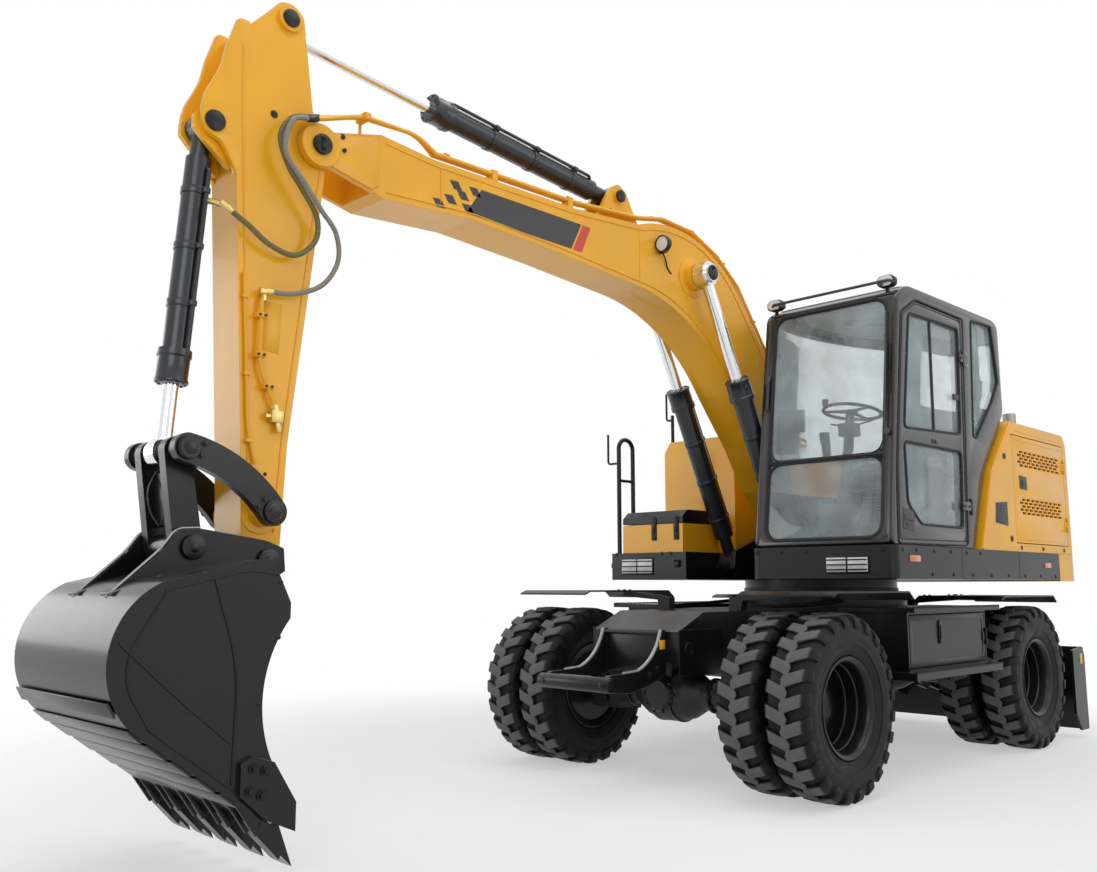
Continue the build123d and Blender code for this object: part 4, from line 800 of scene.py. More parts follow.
roof = flat_matrix(at(120, CAB_Y, 3072), (-1, 0, 0.011), (0, -1, 0))
panel(cab_body, [(flat_box(690, 460), 0.03), (flat_box(*HATCH), 0.06)], roof, 0.040, 0.008)
box(cab_body, (-60, 1120), (230, 1156), (1412, 1456), 0.006)
rear = flat_matrix(at(-627, CAB_Y, 2740), (0, 1, 0), (0, 0, 1))
panel(cab_body, [(flat_box(462, 330), 0.03), (flat_box(*REAR_WINDOW), 0.06)], rear, 0.030, 0.008)
for low, high in (((-628, 2420), (-226, 1984)), ((-226, 1984), (-22, 1436))):
    run = Vector((high[0] - low[0], 0, high[1] - low[1]))
    middle = at((low[0] + high[0]) / 2, CAB_Y, (low[1] + high[1]) / 2)
    panel(cab_body, [flat_box(run.length / 2, 462)], flat_matrix(middle, run, (0, 1, 0)), 0.030, 0.008)
run = Vector((904 - 792, 0, 3002 - 3056))
slope = flat_matrix(at(852, CAB_Y, 3040), run, (0, 1, 0))
panel(cab_body, [flat_box(62, 462)], slope, 0.030, 0.008)
for middle in HINGE_Z:
    for low, high in ((middle - 55, middle - 30.3), (middle + 30.3, middle + 55)):
        rod(cab_body, at(HINGE_X, HINGE_Y, low), at(HINGE_X, HINGE_Y, high), 0.008, sides=16)
        box(cab_body, (-60, HINGE_X), (1178, 1186), (low, high), 0.002)
piece("cab_body", cab_body, cab_black, "upper", "cab_frame", sharp=30)

cab_leaf = bmesh.new()
side_panel(cab_leaf, [DOOR, (UPPER_PANE, 0.04), (LOWER_PANE, 0.04)], 1138, 1178, 0.007)
for middle, pad_end in zip(HINGE_Z, (170, 84)):
    rod(cab_leaf, at(HINGE_X, HINGE_Y, middle - 29), at(HINGE_X, HINGE_Y, middle + 29), 0.008, sides=16)
    box(cab_leaf, (HINGE_X, pad_end), (1185, 1192), (middle - 29, middle + 29), 0.002)
    box(cab_leaf, (pad_end - 38, pad_end), (1176, 1192), (middle - 29, middle + 29), 0.002)
piece("cab_door_leaf", cab_leaf, cab_black, "cab_door_body", "cab_door", sharp=30)

panes = bmesh.new()
side_panel(panes, [(SIDE_PANE, 0.02)], 1154, 1162, 0.0005)
side_panel(panes, [RIGHT_PANE], 224, 232, 0.0005)
for low, high in ((SCREEN_LOW, BAR_LOW), (BAR_HIGH, SCREEN_HIGH)):
    panel(panes, [(screen_box(SCREEN_HALF, low, high), 0.09)], screen_matrix(20), 0.008, 0.0005)
panel(panes, [(flat_box(*REAR_WINDOW), 0.06)], rear, 0.008, 0.0005)
panel(panes, [(flat_box(*HATCH), 0.06)], roof, 0.008, 0.0005)
piece("cab_panes", panes, glass, "upper", "cab_glass", sharp=60)

door_panes = bmesh.new()
for outline in (UPPER_PANE, LOWER_PANE):
    side_panel(door_panes, [(outline, 0.04)], 1156, 1164, 0.0005)
piece("door_panes", door_panes, glass, "cab_door_body", "door_glass", sharp=60)

seals = bmesh.new()
pipe(seals, screen_outline(SCREEN_HALF, SCREEN_LOW, SCREEN_HIGH, 10), 0.011, 0.095, 8, closed=True)
for low, high in ((56, BAR_LOW), (BAR_HIGH, 1594)):
    pipe(seals, screen_outline(SCREEN_HALF - 11, low, high, 14), 0.006, 0.085, 8, closed=True)
pipe(seals, [on_screen(CAB_Y - 410, 569, 6), on_screen(CAB_Y + 410, 569, 6)], 0.007, sides=8)
seal(seals, SIDE_PANE, 1176, 0.009, 0.02)
seal(seals, RIGHT_PANE, 210, 0.009)
rear_window = [at(-642, CAB_Y + y, 2720 + z) for y,
    z in ((-380, -220), (-380, 220), (380, 220), (380, -220))]
pipe(seals, rear_window, 0.009, 0.06, 8, closed=True)
hatch = [at(250 + x, CAB_Y + y, 3094) for x, y in ((-310, -310), (-310, 310), (310, 310), (310, -310))]
pipe(seals, hatch, 0.008, 0.06, 8, closed=True)
seal(seals, [(1080, 1420), (1057, 1902), (904, 2890), (699, 3008), (-22, 3009), (91, 1431)], 1180, 0.006)
piece("cab_seals", seals, rubber, "upper")

door_seals = bmesh.new()
for outline in (UPPER_PANE, LOWER_PANE):
    seal(door_seals, outline, 1176, 0.009, 0.04)
    seal(door_seals, outline, 1142, 0.008, 0.04)
seal(door_seals, [(1056, 1446), (1034, 1899), (884, 2876), (692, 2984), (2, 2984), (112, 1458)], 1176,
    0.005)
box(door_seals, (470, 494), (1152, 1172), (2150, 2906), 0.004, Matrix.Rotation(-0.02, 4, "Y"))
piece("door_seals", door_seals, rubber, "cab_door_body")

cab_trim = bmesh.new()
# visor bar, grab handle and roof studs
pipe(cab_trim, path((905, 245, 3092), (925, 262, 3104), (925, 1124, 3104), (905, 1141, 3092)), 0.010, 0.02)
for y in (320, 1060):
    box(cab_trim, (880, 930), (y - 14, y + 14), (3076, 3104))
pipe(cab_trim, path((1004, 250, 2330), (1040, 258, 2360), (1012, 258, 2560), (970, 250, 2590)), 0.011, 0.04)
for x, y, low in ((444, 1090, 3089), (17, 1090, 3094), (-511, 1090, 3096), (560, 300, 3086),
        (-380, 300, 3090)):
    stem, collar = (46, 18) if y > CAB_Y else (38, 16)
    rod(cab_trim, at(x, y, low), at(x, y, low + stem), 0.010, sides=12, round_off=0.002)
    rod(cab_trim, at(x, y, low + collar - 10), at(x, y, low + collar), 0.020, sides=16, round_off=0.002)
# roof panel seam and rear vents
pipe(cab_trim, path((780, 260, 3088), (780, 1126, 3088), (-540, 1126, 3101), (-540, 260, 3101)), 0.005,
    0.03, 8, True)
for row in range(7):
    box(cab_trim, (-652, -644), (480, 900), (2030 + 30 * row, 2044 + 30 * row), 0.002)
# latch knobs along the screen's sides
for side, height in ((-395, 440), (-395, 640), (395, 640), (-395, 1350), (395, 1350)):
    y = CAB_Y + side
    rod(cab_trim, on_screen(y, height, 60), on_screen(y, height, 30), 0.016, sides=16, round_off=0.003)
    rod(cab_trim, on_screen(y, height, 34), on_screen(y, height + 42, 40), 0.006, sides=10)
# wiper on the right pillar
rod(cab_trim, on_screen(1134, 700, 0), on_screen(1134, 700, -22), 0.020, sides=20, round_off=0.003)
pipe(cab_trim, [on_screen(1134, 690, -18), on_screen(1120, 760, -20), on_screen(1112, 1290, -14)], 0.006,
    0.02, 8)
pipe(cab_trim, [on_screen(1106, 960, -6), on_screen(1106, 1500, -6)], 0.005, 0.02, 8)
for x in (-40, 180, 420, 660, 900, 1080):
    bolt(cab_trim, at(x, 1208, 1382), (0, 1, 0), 0.009, 0.007)
piece("cab_trim", cab_trim, plastic, "upper")

handle_parts = bmesh.new()
# recessed outer handle, its pull, the inner latch and the door's grab bar
plate(handle_parts, [(858, 1500), (846, 1630), (1000, 1640), (1012, 1510)], 1176, 1181, 0.002)
plate(handle_parts, [(880, 1560), (876, 1592), (986, 1602), (990, 1570)], 1181, 1187, 0.002)
boss(handle_parts, 960, 1540, 1180, 1186, 12, 20, 0.002)
box(handle_parts, (476, 552), (1170, 1184), (2078, 2108), 0.004)
rod(handle_parts, at(514, 1184, 2093), at(514, 1192, 2093), 0.012, sides=16, round_off=0.002)
box(handle_parts, (120, 190), (1170, 1186), (2412, 2452), 0.004)
pipe(handle_parts, path((840, 1134, 2110), (840, 1096, 2124), (500, 1096, 2124), (500, 1134, 2110)), 0.012,
    0.04)
for x, z in ((58, 1695), (120, 1695), (152, 1695), (56, 2720)):
    rod(handle_parts, at(x, 1188, z), at(x, 1198, z), 0.008, sides=6)
piece("door_fittings", handle_parts, plastic, "cab_door_body")

# Steering wheel, column and pedals
SEAT_Y = 690
controls = bmesh.new()
wheel_axis = (-0.21, 0, 0.978)
wheel_turn = turn_to(wheel_axis)
wheel_centre = at(738, SEAT_Y, 2322)
pipe(controls, ring_of(24, wheel_centre, wheel_axis, 0.154), 0.0115, 0.02, 12, closed=True)
for angle in (0.3, pi - 0.3, -pi / 2):
    tip = wheel_centre + wheel_turn @ Vector((0.150 * cos(angle), 0.150 * sin(angle), 0))
    rod(controls, wheel_centre, tip, 0.014, 0.008, 10)
up = Vector((0, 0, 1))
rod(controls, wheel_centre - up * 0.010, wheel_centre + up * 0.012, 0.040, 0.034, 28, 0.003)
grip = wheel_centre + wheel_turn @ Vector((0.10, 0.115, 0.012))
rod(controls, grip, grip + wheel_turn @ Vector((0, 0, 0.045)), 0.016, 0.020, 16, 0.004)
rod(controls, at(858, SEAT_Y, 1700), at(745, SEAT_Y, 2300), 0.033, 0.024, 20)
box(controls, (726, 806), (640, 740), (2150, 2240), 0.012)
for hand in (1, -1):
    rod(controls, at(752, SEAT_Y + hand * 40, 2225), at(740, SEAT_Y + hand * 130, 2250), 0.006, sides=10)
box(controls, (720, 980), (590, 790), (1457, 1690), 0.02)
for y in (560, 640, 740, 820):
    box(controls, (930, 1010), (y - 34, y + 34), (1500, 1514), 0.004, Matrix.Rotation(0.5, 4, "Y"))
    pipe(controls, path((940, y, 1510), (900, y, 1620), (890, y, 1730)), 0.009, 0.03)
piece("steering_column", controls, plastic, "upper", "cab_controls")

# Consoles with joysticks, monitor, rear shelf, floor mat and the seat's bellows
cabin = bmesh.new()
for hand in (1, -1):
    y = SEAT_Y + hand * 301
    box(cabin, (110, 545), (y - 40, y + 40), (1962, 2038), 0.018)
    box(cabin, (140, 320), (y - 34, y + 34), (1480, 1960), 0.02)
    rod(cabin, at(490, y, 2036), at(500, y, 2078), 0.034, 0.020, 20, 0.002)
    rod(cabin, at(500, y, 2072), at(512, y, 2150), 0.012, 0.016, 14)
    rod(cabin, at(512, y, 2146), at(520, y, 2236), 0.024, 0.028, 18, 0.010)
    for index in range(5):
        box(cabin, (180 + 46 * index, 210 + 46 * index), (y - 14, y + 14), (2036, 2044), 0.002)
box(cabin, (850, 900), (262, 300), (1990, 2330), 0.01)
box(cabin, (820, 850), (250, 430), (2200, 2360), 0.01, Matrix.Rotation(0.25, 4, "Z"))
box(cabin, (-560, -300), (260, 1126), (2300, 2330), 0.008)
box(cabin, (200, 1080), (262, 1124), (1457, 1466), 0.003)
box(cabin, (150, 480), (500, 880), (1466, 1680), 0.015)
for fold in range(6):
    wide, low = 4 * (fold % 2), 1684 + 18 * fold
    box(cabin, (158 - wide, 472 + wide), (508, 872), (low, low + 16), 0.006)
piece("cab_inside", cabin, plastic, "upper")
lining = bmesh.new()
box(lining, (-500, 760), (300, 1086), (3026, 3046), 0.006)
for x in (-330, -40, 250, 540):
    box(lining, (x - 60, x + 60), (420, 966), (3018, 3028), 0.004)
piece("cab_lining", lining, pale_liner, "upper")


def baked(made):
    """Mesh data of an object with its modifiers worked out, which are then removed."""
    evaluated = made.evaluated_get(bpy.context.evaluated_depsgraph_get())
    data = bpy.data.meshes.new_from_object(evaluated)
    made.modifiers.clear()
    return data


def pad(name, size, cap):
    """Foam pad: a rounded block swollen by cloth under pressure, by no more than the cap."""
    mesh = bmesh.new()
    slab(mesh, -Vector(size) / 2, Vector(size) / 2, 0.03)
    bmesh.ops.recalc_face_normals(mesh, faces=mesh.faces)
    data = bpy.data.meshes.new(name)
    mesh.to_mesh(data)
    mesh.free()
    made = bpy.data.objects.new(name, data)
    bpy.context.collection.objects.link(made)
    remesh = made.modifiers.new("remesh", "REMESH")
    remesh.mode = "VOXEL"
    remesh.voxel_size = 0.011
    bpy.context.view_layer.update()
    even = baked(made)
    made.data = even
    before = [vert.co.copy() for vert in even.vertices]
    cloth = made.modifiers.new("foam", "CLOTH")
    cloth.settings.use_pressure = True
    cloth.settings.uniform_pressure_force = 4
    cloth.settings.effector_weights.gravity = 0
    scene = bpy.context.scene
    for frame_number in range(1, 21):
        scene.frame_set(frame_number)
    swollen = baked(made)
    for vert, rest in zip(swollen.vertices, before):
        move = vert.co - rest
        if move.length > cap:
            vert.co = rest + move.normalized() * cap
    scene.frame_set(1)
    made.data = swollen
    for polygon in swollen.polygons:
        polygon.use_smooth = True
    smooth = made.modifiers.new("soften", "SMOOTH")
    smooth.iterations = 4
    return made


BACK = (64, SEAT_Y, 2180)
BACK_TURN = Matrix.Rotation(-0.24, 4, "Y")
SEAT_PADS = (
    ("seat_cushion", (350, SEAT_Y, 1868), (0.44, 0.44, 0.085), Matrix.Rotation(-0.09, 4, "Y"), 0.016),
    ("seat_back", BACK, (0.085, 0.42, 0.50), BACK_TURN, 0.016),
    ("head_rest", (-12, SEAT_Y, 2500), (0.07, 0.25, 0.13), BACK_TURN, 0.012),
)
for name, centre, size, turn, cap in SEAT_PADS:
    cushion = pad(name, size, cap)
    cushion.data.transform(Matrix.Translation(at(*centre)) @ turn)
    cushion.data.materials.clear()
    cushion.data.materials.append(seat_cloth.material)
    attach(cushion, "upper")
shell = bmesh.new()
box(shell, (150, 560), (500, 880), (1795, 1822), 0.012)
back = at(*BACK)
slab(shell, back - Vector((0.065, 0.20, 0.26)), back + Vector((-0.045, 0.20, 0.26)), 0.008, BACK_TURN)
for y in (640, 740):
    rod(shell, at(22, y, 2400), at(-12, y, 2500), 0.007, sides=10)
for y in (462, 918):
    rod(shell, at(200, y, 1850), at(180, y, 1840), 0.03, sides=20, round_off=0.004)
for y in (470, 910):
    pipe(shell, path((180, y, 1838), (150, y, 1850), (60, y, 2200)), 0.009, 0.03)
piece("seat_shell", shell, plastic, "upper", "cab_seat")


# Engine housing: side doors with grilles of brick-like slots, and what stands on its sides
GRILLE_Z = (1745, 2100)


def grille_slots(middle_x):
    """Openings of both grilles: every second row of slots stands half a slot further on."""
    slots = []
    for row in range(5):
        for column in range(9):
            for middle_z in GRILLE_Z:
                x = middle_x + 90 * (column - 4) + (20 if row % 2 else -20)
                z = middle_z + 25 * (row - 2)
                slots.append(([(x - 36, z - 8), (x + 36, z - 8), (x + 36, z + 8), (x - 36, z + 8)], 0.004))
    return slots


for edge, hand, front in ((1, "left", -706), (-1, "right", -866)):
    leaf = bmesh.new()
    outline = [(-1734, 1476), (front, 1476), (front, 2264), (-1734, 2264)]
    limits = across(edge, 1178, 1200)
    middle_x = -1225 if edge > 0 else -1300
    side_panel(leaf, [(outline, 0.02), *grille_slots(middle_x)], *limits, 0.003)
    for z in (1640, 2100):
        rod(leaf, at(-1736, edge * 1208.3, z - 29), at(-1736, edge * 1208.3, z + 29), 0.008, sides=16)
        box(leaf, (-1736, -1690), (edge * 1199, edge * 1205), (z - 29, z + 29), 0.002)
    for x_low, z in ((front - 60, 2235), (front - 60, 1505)):
        box(leaf, (-1700, x_low), (edge * 1199, edge * 1202.5), (z - 6, z + 6), 0.0015)
    piece(f"hood_leaf_{hand}", leaf, yellow, f"hood_{hand}", f"hood_door_{hand}")
    mesh = bmesh.new()
    for middle_z in GRILLE_Z:
        box(mesh, (middle_x - 420, middle_x + 420), across(edge, 1168, 1174),
            (middle_z - 66, middle_z + 66), 0.001)
    latch_x = front - 175
    plate_limits = across(edge, 1200, 1204)
    plate(mesh, [(latch_x - 70, 1868), (latch_x - 70, 1966), (latch_x + 66, 1972), (latch_x + 66, 1874)],
          *plate_limits, 0.0015)
    box(mesh, (latch_x - 40, latch_x + 30), (edge * 1203, edge * 1210), (1900, 1936), 0.004)
    piece(f"hood_leaf_trim_{hand}", mesh, plastic, f"hood_{hand}")

hood_trim = bmesh.new()
plate(hood_trim, [(-560, 1588), (-560, 1762), (-360, 1746), (-340, 1604)], 1199, 1203, 0.0015)
for z in range(1612, 1740, 24):
    box(hood_trim, (-540, -366), (1202, 1206), (z, z + 9), 0.001)
for x, z in ((-559, 2091), (-610, 1500)):
    rod(hood_trim, at(x, 1198, z), at(x, 1206, z), 0.022, sides=24, round_off=0.002)
    rod(hood_trim, at(x, 1205, z), at(x, 1208, z), 0.010, sides=6)
for edge in (1, -1):
    for x in (-1640, -1200, -780):
        bolt(hood_trim, at(x, edge * 1199, 1440), (0, edge, 0), 0.010, 0.008)
for x in (-1500, -900):
    for y in (300, -300):
        rod(hood_trim, at(x, y, 2400), at(x, y, 2412), 0.020, sides=20, round_off=0.002)
pipe(hood_trim, path((-900, 160, 2404), (-900, 160, 2440), (-900, -160, 2440), (-900, -160, 2404)), 0.010,
    0.03)
for row in range(9):
    box(hood_trim, (-1560, -1050), (700 + 34 * row, 716 + 34 * row), (2358, 2366), 0.002)
for row in range(6):
    box(hood_trim, (-300 + 44 * row, -284 + 44 * row), (-1080, -640), (2328, 2336), 0.002)
rod(hood_trim, at(160, -760, 2328), at(160, -760, 2352), 0.060, 0.052, 32, 0.004)
piece("hood_trim", hood_trim, plastic, "upper")

stack = bmesh.new()
STACK = [(0, 0), (0, 62), (30, 62), (35, 50), (200, 50), (200, 43), (50, 43), (50, 0)]
lathe(stack, section(STACK), at(-1600, 860, 2358), (0, 0, 1), 40)
piece("exhaust_stack", stack, worn_steel, "upper")

edge_strips = bmesh.new()
pipe(edge_strips, [at(-690, 1206, 2350), at(-300, 1206, 1960), at(-78, 1206, 1418)], 0.010, 0.02, 10)
box(edge_strips, (-1790, -1500), (1197, 1203), (1412, 1418), 0.001)
for edge in (1, -1):
    for x_low, x_high, z in ((-1560, -800, 2296), (-1660, -860, 1452)):
        box(edge_strips, (x_low, x_high), across(edge, 1199, 1202), (z, z + 10), 0.0015)
piece("hood_edges", edge_strips, yellow, "upper")

reflectors = bmesh.new()
box(reflectors, (870, 1010), (1207, 1214), (1312, 1350), 0.003)
box(reflectors, (-1300, -1180), (1207, 1214), (1300, 1336), 0.003)
box(reflectors, (870, 990), (-1214, -1207), (1300, 1336), 0.003)
for edge in (1, -1):
    box(reflectors, (-1972, -1960), (edge * 900 - 70, edge * 900 + 70), (1420, 1460), 0.003,
        Matrix.Rotation(-edge * 0.43, 4, "Z"))
piece("reflectors", reflectors, amber, "upper")

# Counterweight: seams round its back, lifting eyes, bolt caps and its two lamps
def tail_spot(turn, reach, edge, height, side_reach=None):
    """Place on the round back at an angle from the middle plane, with the way outwards."""
    spot = at(-reach * cos(turn), edge * (side_reach or reach) * sin(turn), height)
    return spot, Vector((-cos(turn), edge * sin(turn), 0))


tail, tail_lamps = bmesh.new(), bmesh.new()
for height, reach in ((1500, 2154), (2262, 2128)):
    turns = [0.36 * step / 8 for step in range(-11, 12)]
    pipe(tail, [tail_spot(turn, reach, 1, height)[0] for turn in turns], 0.004, 0.01, 8)
for edge in (1, -1):
    pipe(tail, path((-1760, edge * 560, 2326), (-1760, edge * 560, 2392), (-1660, edge * 560, 2392),
         (-1660, edge * 560, 2326)), 0.015, 0.04)
    for height in (1640, 2140):
        spot, outward = tail_spot(0.2, 2160 - 0.035 * (height - 1410), edge, height)
        rod(tail, spot - outward * 0.004, spot + outward * 0.006, 0.042, sides=32, round_off=0.003)
        rod(tail, spot + outward * 0.005, spot + outward * 0.014, 0.016, sides=6)
    spot, outward = tail_spot(0.37, 2108, edge, 1760, 2134)
    rod(tail, spot - outward * 0.05, spot + outward * 0.012, 0.062, sides=36, round_off=0.004)
    rod(tail_lamps, spot + outward * 0.010, spot + outward * 0.018, 0.052, 0.046, 36, 0.003)
piece("counterweight_fittings", tail, black, "upper")
piece("tail_lamps", tail_lamps, amber, "upper")

# Deck: lamps behind bars, the lamps on the cab's roof, bolts, seams and the tool box's latches
LAMP = [(-1, -0.5), (-0.6, -1), (0.6, -1), (1, -0.5), (1, 0.5), (0.6, 1), (-0.6, 1), (-1, 0.5)]
lamp_cases, lamp_glass = bmesh.new(), bmesh.new()
for front_x, (y_low, y_high), (z_low, z_high) in (
    (1180, (745, 1035), (1238, 1350)), (985, (-1106, -800), (1246, 1374)),
):
    box(lamp_cases, (front_x, front_x + 8), (y_low, y_high), (z_low, z_high), 0.004)
    for part in range(2):
        middle = y_low + (part + 0.5) * (y_high - y_low) / 2
        span = (y_high - y_low) / 2 - 12
        box(lamp_glass, (front_x + 7, front_x + 13), (middle - span / 2, middle + span / 2),
            (z_low + 12, z_high - 12), 0.004)
        z = (z_low + z_high) / 2
        rod(lamp_glass, at(front_x + 9, middle, z), at(front_x + 15, middle, z), 0.034, sides=28,
            round_off=0.002)
    for row in range(3):
        z = z_low + 26 + row * (z_high - z_low - 52) / 2
        pipe(lamp_cases, path((front_x + 4, y_low + 8, z), (front_x + 22, y_low + 16, z),
             (front_x + 22, y_high - 16, z), (front_x + 4, y_high - 8, z)), 0.004, 0.01, 8)
for y in (260, 1088):
    box(lamp_cases, (874, 888), (y - 12, y + 12), (3030, 3078), 0.003)
    for mesh, x, half_y, half_z, depth, edge, corner in (
        (lamp_cases, 884, 60, 39, 0.056, 0.008, 0.012),
        (lamp_glass, 912, 60 * 0.84, 39 * 0.82, 0.008, 0.002, 0.010),
    ):
        outline = [((y + u * half_y) / 1000, (3107 + v * half_z) / 1000) for u, v in LAMP]
        panel(mesh, [outline], from_columns((0, 1, 0), (0, 0, 1), (1, 0, 0), (at(x, 0, 0).x, 0, 0)),
              depth, edge, corner)
    for row in range(4):
        box(lamp_cases, (850, 858), (y - 40, y + 40), (3080 + 14 * row, 3086 + 14 * row), 0.002)
piece("lamp_cases", lamp_cases, black, "upper", "lamps")
piece("lamp_lenses", lamp_glass, lens, "upper")

deck_trim = bmesh.new()
for y in (240, 420, 600, 1120):
    bolt(deck_trim, at(1180, y, 1380), (1, 0, 0), 0.010, 0.008)
for y in (-1160, -720, -640):
    bolt(deck_trim, at(985, y, 1400), (1, 0, 0), 0.010, 0.008)
for edge in (1, -1):
    for x in range(-1400, 1000, 300):
        bolt(deck_trim, at(x, edge * 1207, 1236), (0, edge, 0), 0.009, 0.007)
    for x in (-700, 260):
        box(deck_trim, (x, x + 5), (edge * 1206, edge * 1209.5), (1214, 1408), 0.001)
box(deck_trim, (984, 1000), (-600, -552), (1300, 1350), 0.004)
pipe(deck_trim, path((996, -590, 1330), (1012, -590, 1352), (1012, -562, 1352), (996, -562, 1330)), 0.004,
    0.01, 8)
for y in (-812, -603):
    box(deck_trim, (952, 962), (y - 24, y + 24), (1500, 1668), 0.003)
    box(deck_trim, (958, 968), (y - 15, y + 15), (1560, 1640), 0.005)
    rod(deck_trim, at(958, y, 1668), at(966, y, 1668), 0.017, sides=20, round_off=0.002)
    rod(deck_trim, at(958, y, 1510), at(968, y, 1510), 0.010, sides=6)
piece("deck_trim", deck_trim, black, "upper")

def arc(first, middle, last, count=8):
    """Places on a smooth bend through three places."""
    spots = []
    for index in range(count + 1):
        t = index / count
        near = [(1 - t) * (1 - 2 * t), 4 * t * (1 - t), t * (2 * t - 1)]
        spots.append(tuple(sum(k * p[axis] for k, p in zip(near, (first, middle, last))) for axis in (0,
            1)))
    return spots


# Front bar and its carrier plates, with concave edges
CARRIER = [
    (2151, 650), (2151, 913), (2183, 910), *arc((2183, 910), (2262, 770), (2400, 684))[1:], (2520, 679),
    *arc((2640, 676), (2712, 628), (2650, 580), 6), (2470, 568), (2312, 600), (2220, 632),
]
guard, guard_edges = bmesh.new(), bmesh.new()
for edge in (1, -1):
    side_panel(guard, [CARRIER], *across(edge, 210, 240), 0.003, 0.004)
    side_panel(guard, [[(1720, 640), (1720, 915), (2151, 913), (2151, 650)]], *across(edge, 330, 338),
               0.003, 0.01)
    pipe(guard_edges, level(edge * 225, CARRIER[2:12]), 0.010, 0.02, 8)
    for x, z in ((2230, 690), (2300, 660)):
        bolt(guard, at(x, edge * 240, z), (0, edge, 0), 0.013)
    rod(guard, at(2060, edge * 337, 800), at(2060, edge * 345, 800), 0.040, sides=32, round_off=0.003)
rod(guard, at(2665, -272, 625), at(2665, 272, 625), 0.042, sides=40, round_off=0.004)
rod(guard, at(2175, -225, 890), at(2175, 225, 890), 0.012, sides=16)
box(guard, (2152, 2166), (-226, 226), (660, 906), 0.003)
piece("guard_plates", guard, black, "chassis", "front_guard")
rod(guard_edges, at(2665, -120, 664), at(2665, 120, 664), 0.0042, sides=10)
piece("guard_worn_edges", guard_edges, worn_steel, "chassis")

yellow_tags = bmesh.new()
box(yellow_tags, (2160, 2214), (240, 242), (800, 852), 0.0008)
for edge in (1, -1):
    box(yellow_tags, (-1850, -1800), (edge * 1205, edge * 1207), (560, 640), 0.0008)
piece("yellow_tags", yellow_tags, yellow, "chassis")

# Pipes and hoses of the arm
BUCKET_HOSE = [
    (4488, 18, 3379), (4601.8, 26.8, 3337.9), (4664.2, 30.4, 3229.5), (4620.2, 33.3, 3096.8),
    (4543.2, 36.1, 2998.8),
    (4461, 36.1, 2884.1), (4464.4, 33.3, 2766), (4563.5, 25.8, 2677.6), (4692, 24, 2698), (4800, 20, 2764),
    (4905, 8, 2826),
]
ARM_HOSE = [
    (4500, 37, 3360), (4622.1, 63.6, 3306.6), (4655.3, 67, 3145.5), (4554.5, 69, 3023.4),
    (4456.7, 65, 2915),
    (4366.9, 57, 2823.6), (4343.6, 46, 2693.5), (4415, 33, 2566.2), (4545.9, 12, 2500.9), (4692, 4, 2483.1),
]


def smooth_line(route, steps=10):
    """Close places on one smooth curve through a route, in metres."""
    knots = [at(*place) for place in route]
    knots = [2 * knots[0] - knots[1], *knots, 2 * knots[-1] - knots[-2]]
    line = []
    for a, b, c, d in zip(knots, knots[1:], knots[2:], knots[3:]):
        for index in range(steps):
            t = index / steps
            line.append(0.5 * (2 * b + (c - a) * t + (2 * a - 5 * b + 4 * c - d) * t * t
                               + (3 * b - a - 3 * c + d) * t * t * t))
    return [*line, knots[-2]]


def free_hose(name, route, radius, finish):
    """Hose between boom and arm, a tube along a smooth curve through its route."""
    line = smooth_line(route)
    curve = tube_curve(radius, 4)
    spline = curve.splines.new("POLY")
    spline.points.add(len(line) - 1)
    for point, place in zip(spline.points, line):
        point.co = (*place, 1)
    data = mesh_of(curve)
    for polygon in data.polygons:
        polygon.use_smooth = True
    data.materials.clear()
    data.materials.append(finish.material)
    made = bpy.data.objects.new(name, data)
    bpy.context.collection.objects.link(made)
    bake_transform(made)


def fitting(mesh, place, direction, radius=0.017):
    """Hex and ferrule at the end of a hose."""
    way = direction.normalized()
    rod(mesh, place - way * 0.030, place + way * 0.004, radius, sides=6)
    rod(mesh, place + way * 0.002, place + way * 0.034, radius * 0.96, radius * 0.86, 20, 0.001)


# Boom: pipe ends, clips, raised cheek, seams, and what covers its pins
CLIPS = (
    (760, 3056), (1120, 3412), (1480, 3560), (1900, 3548), (2300, 3494), (2690, 3466), (3300, 3454),
    (3640, 3448),
)
BEND = (1020, 3212)
UPPER_SEAM = [
    (250, 2146), (350, 2340), (685, 2812), BEND, *arc(BEND, (1480, 3478), (2050, 3436)),
    (2650, 3386), (3730, 3366), (4050, 3390),
]
BELLY = (1036, 2530)
LOWER_SEAM = [
    (420, 1800), (520, 1892), (735, 2188), BELLY, *arc(BELLY, (1516, 2942), (2050, 3090)),
    (2780, 3142), (3466, 3172), (4040, 3134),
]
boom_lines, boom_fittings = bmesh.new(), bmesh.new()
for y, route in ((-46, ARM_HOSE), (-16, BUCKET_HOSE)):
    first, second = at(*route[0]), at(*route[1])
    back = (first - second).normalized()
    pipe(boom_lines, [at(3715, y, 3444), at(3860, (y + route[0][1]) / 2, 3500), at(4214, route[0][1], 3470),
         first + back * 0.10, first + back * 0.02], 0.012, 0.06)
    fitting(boom_fittings, first, second - first)
for x, height in CLIPS:
    for edge in (1, -1):
        near, far = mirrored(edge, 92, 146)
        middle = (near + far) / 2
        box(boom_lines, (x - 16, x + 16), (near, far), (height + 4, height + 18), 0.004)
        rod(boom_fittings, at(x, middle, height + 16), at(x, middle, height + 26), 0.009, sides=6)
box(boom_lines, (4180, 4220), (-30, 60), (3452, 3490), 0.006)
box(boom_lines, (4190, 4204), (-24, -12), (3330, 3460), 0.003)
plate(boom_lines, [(4400, 3334), (4480, 3304), (4492, 3216), (4404, 3180), (4130, 3122), (4090, 3150),
    (4100, 3400)],
      0, 7, 0.003)
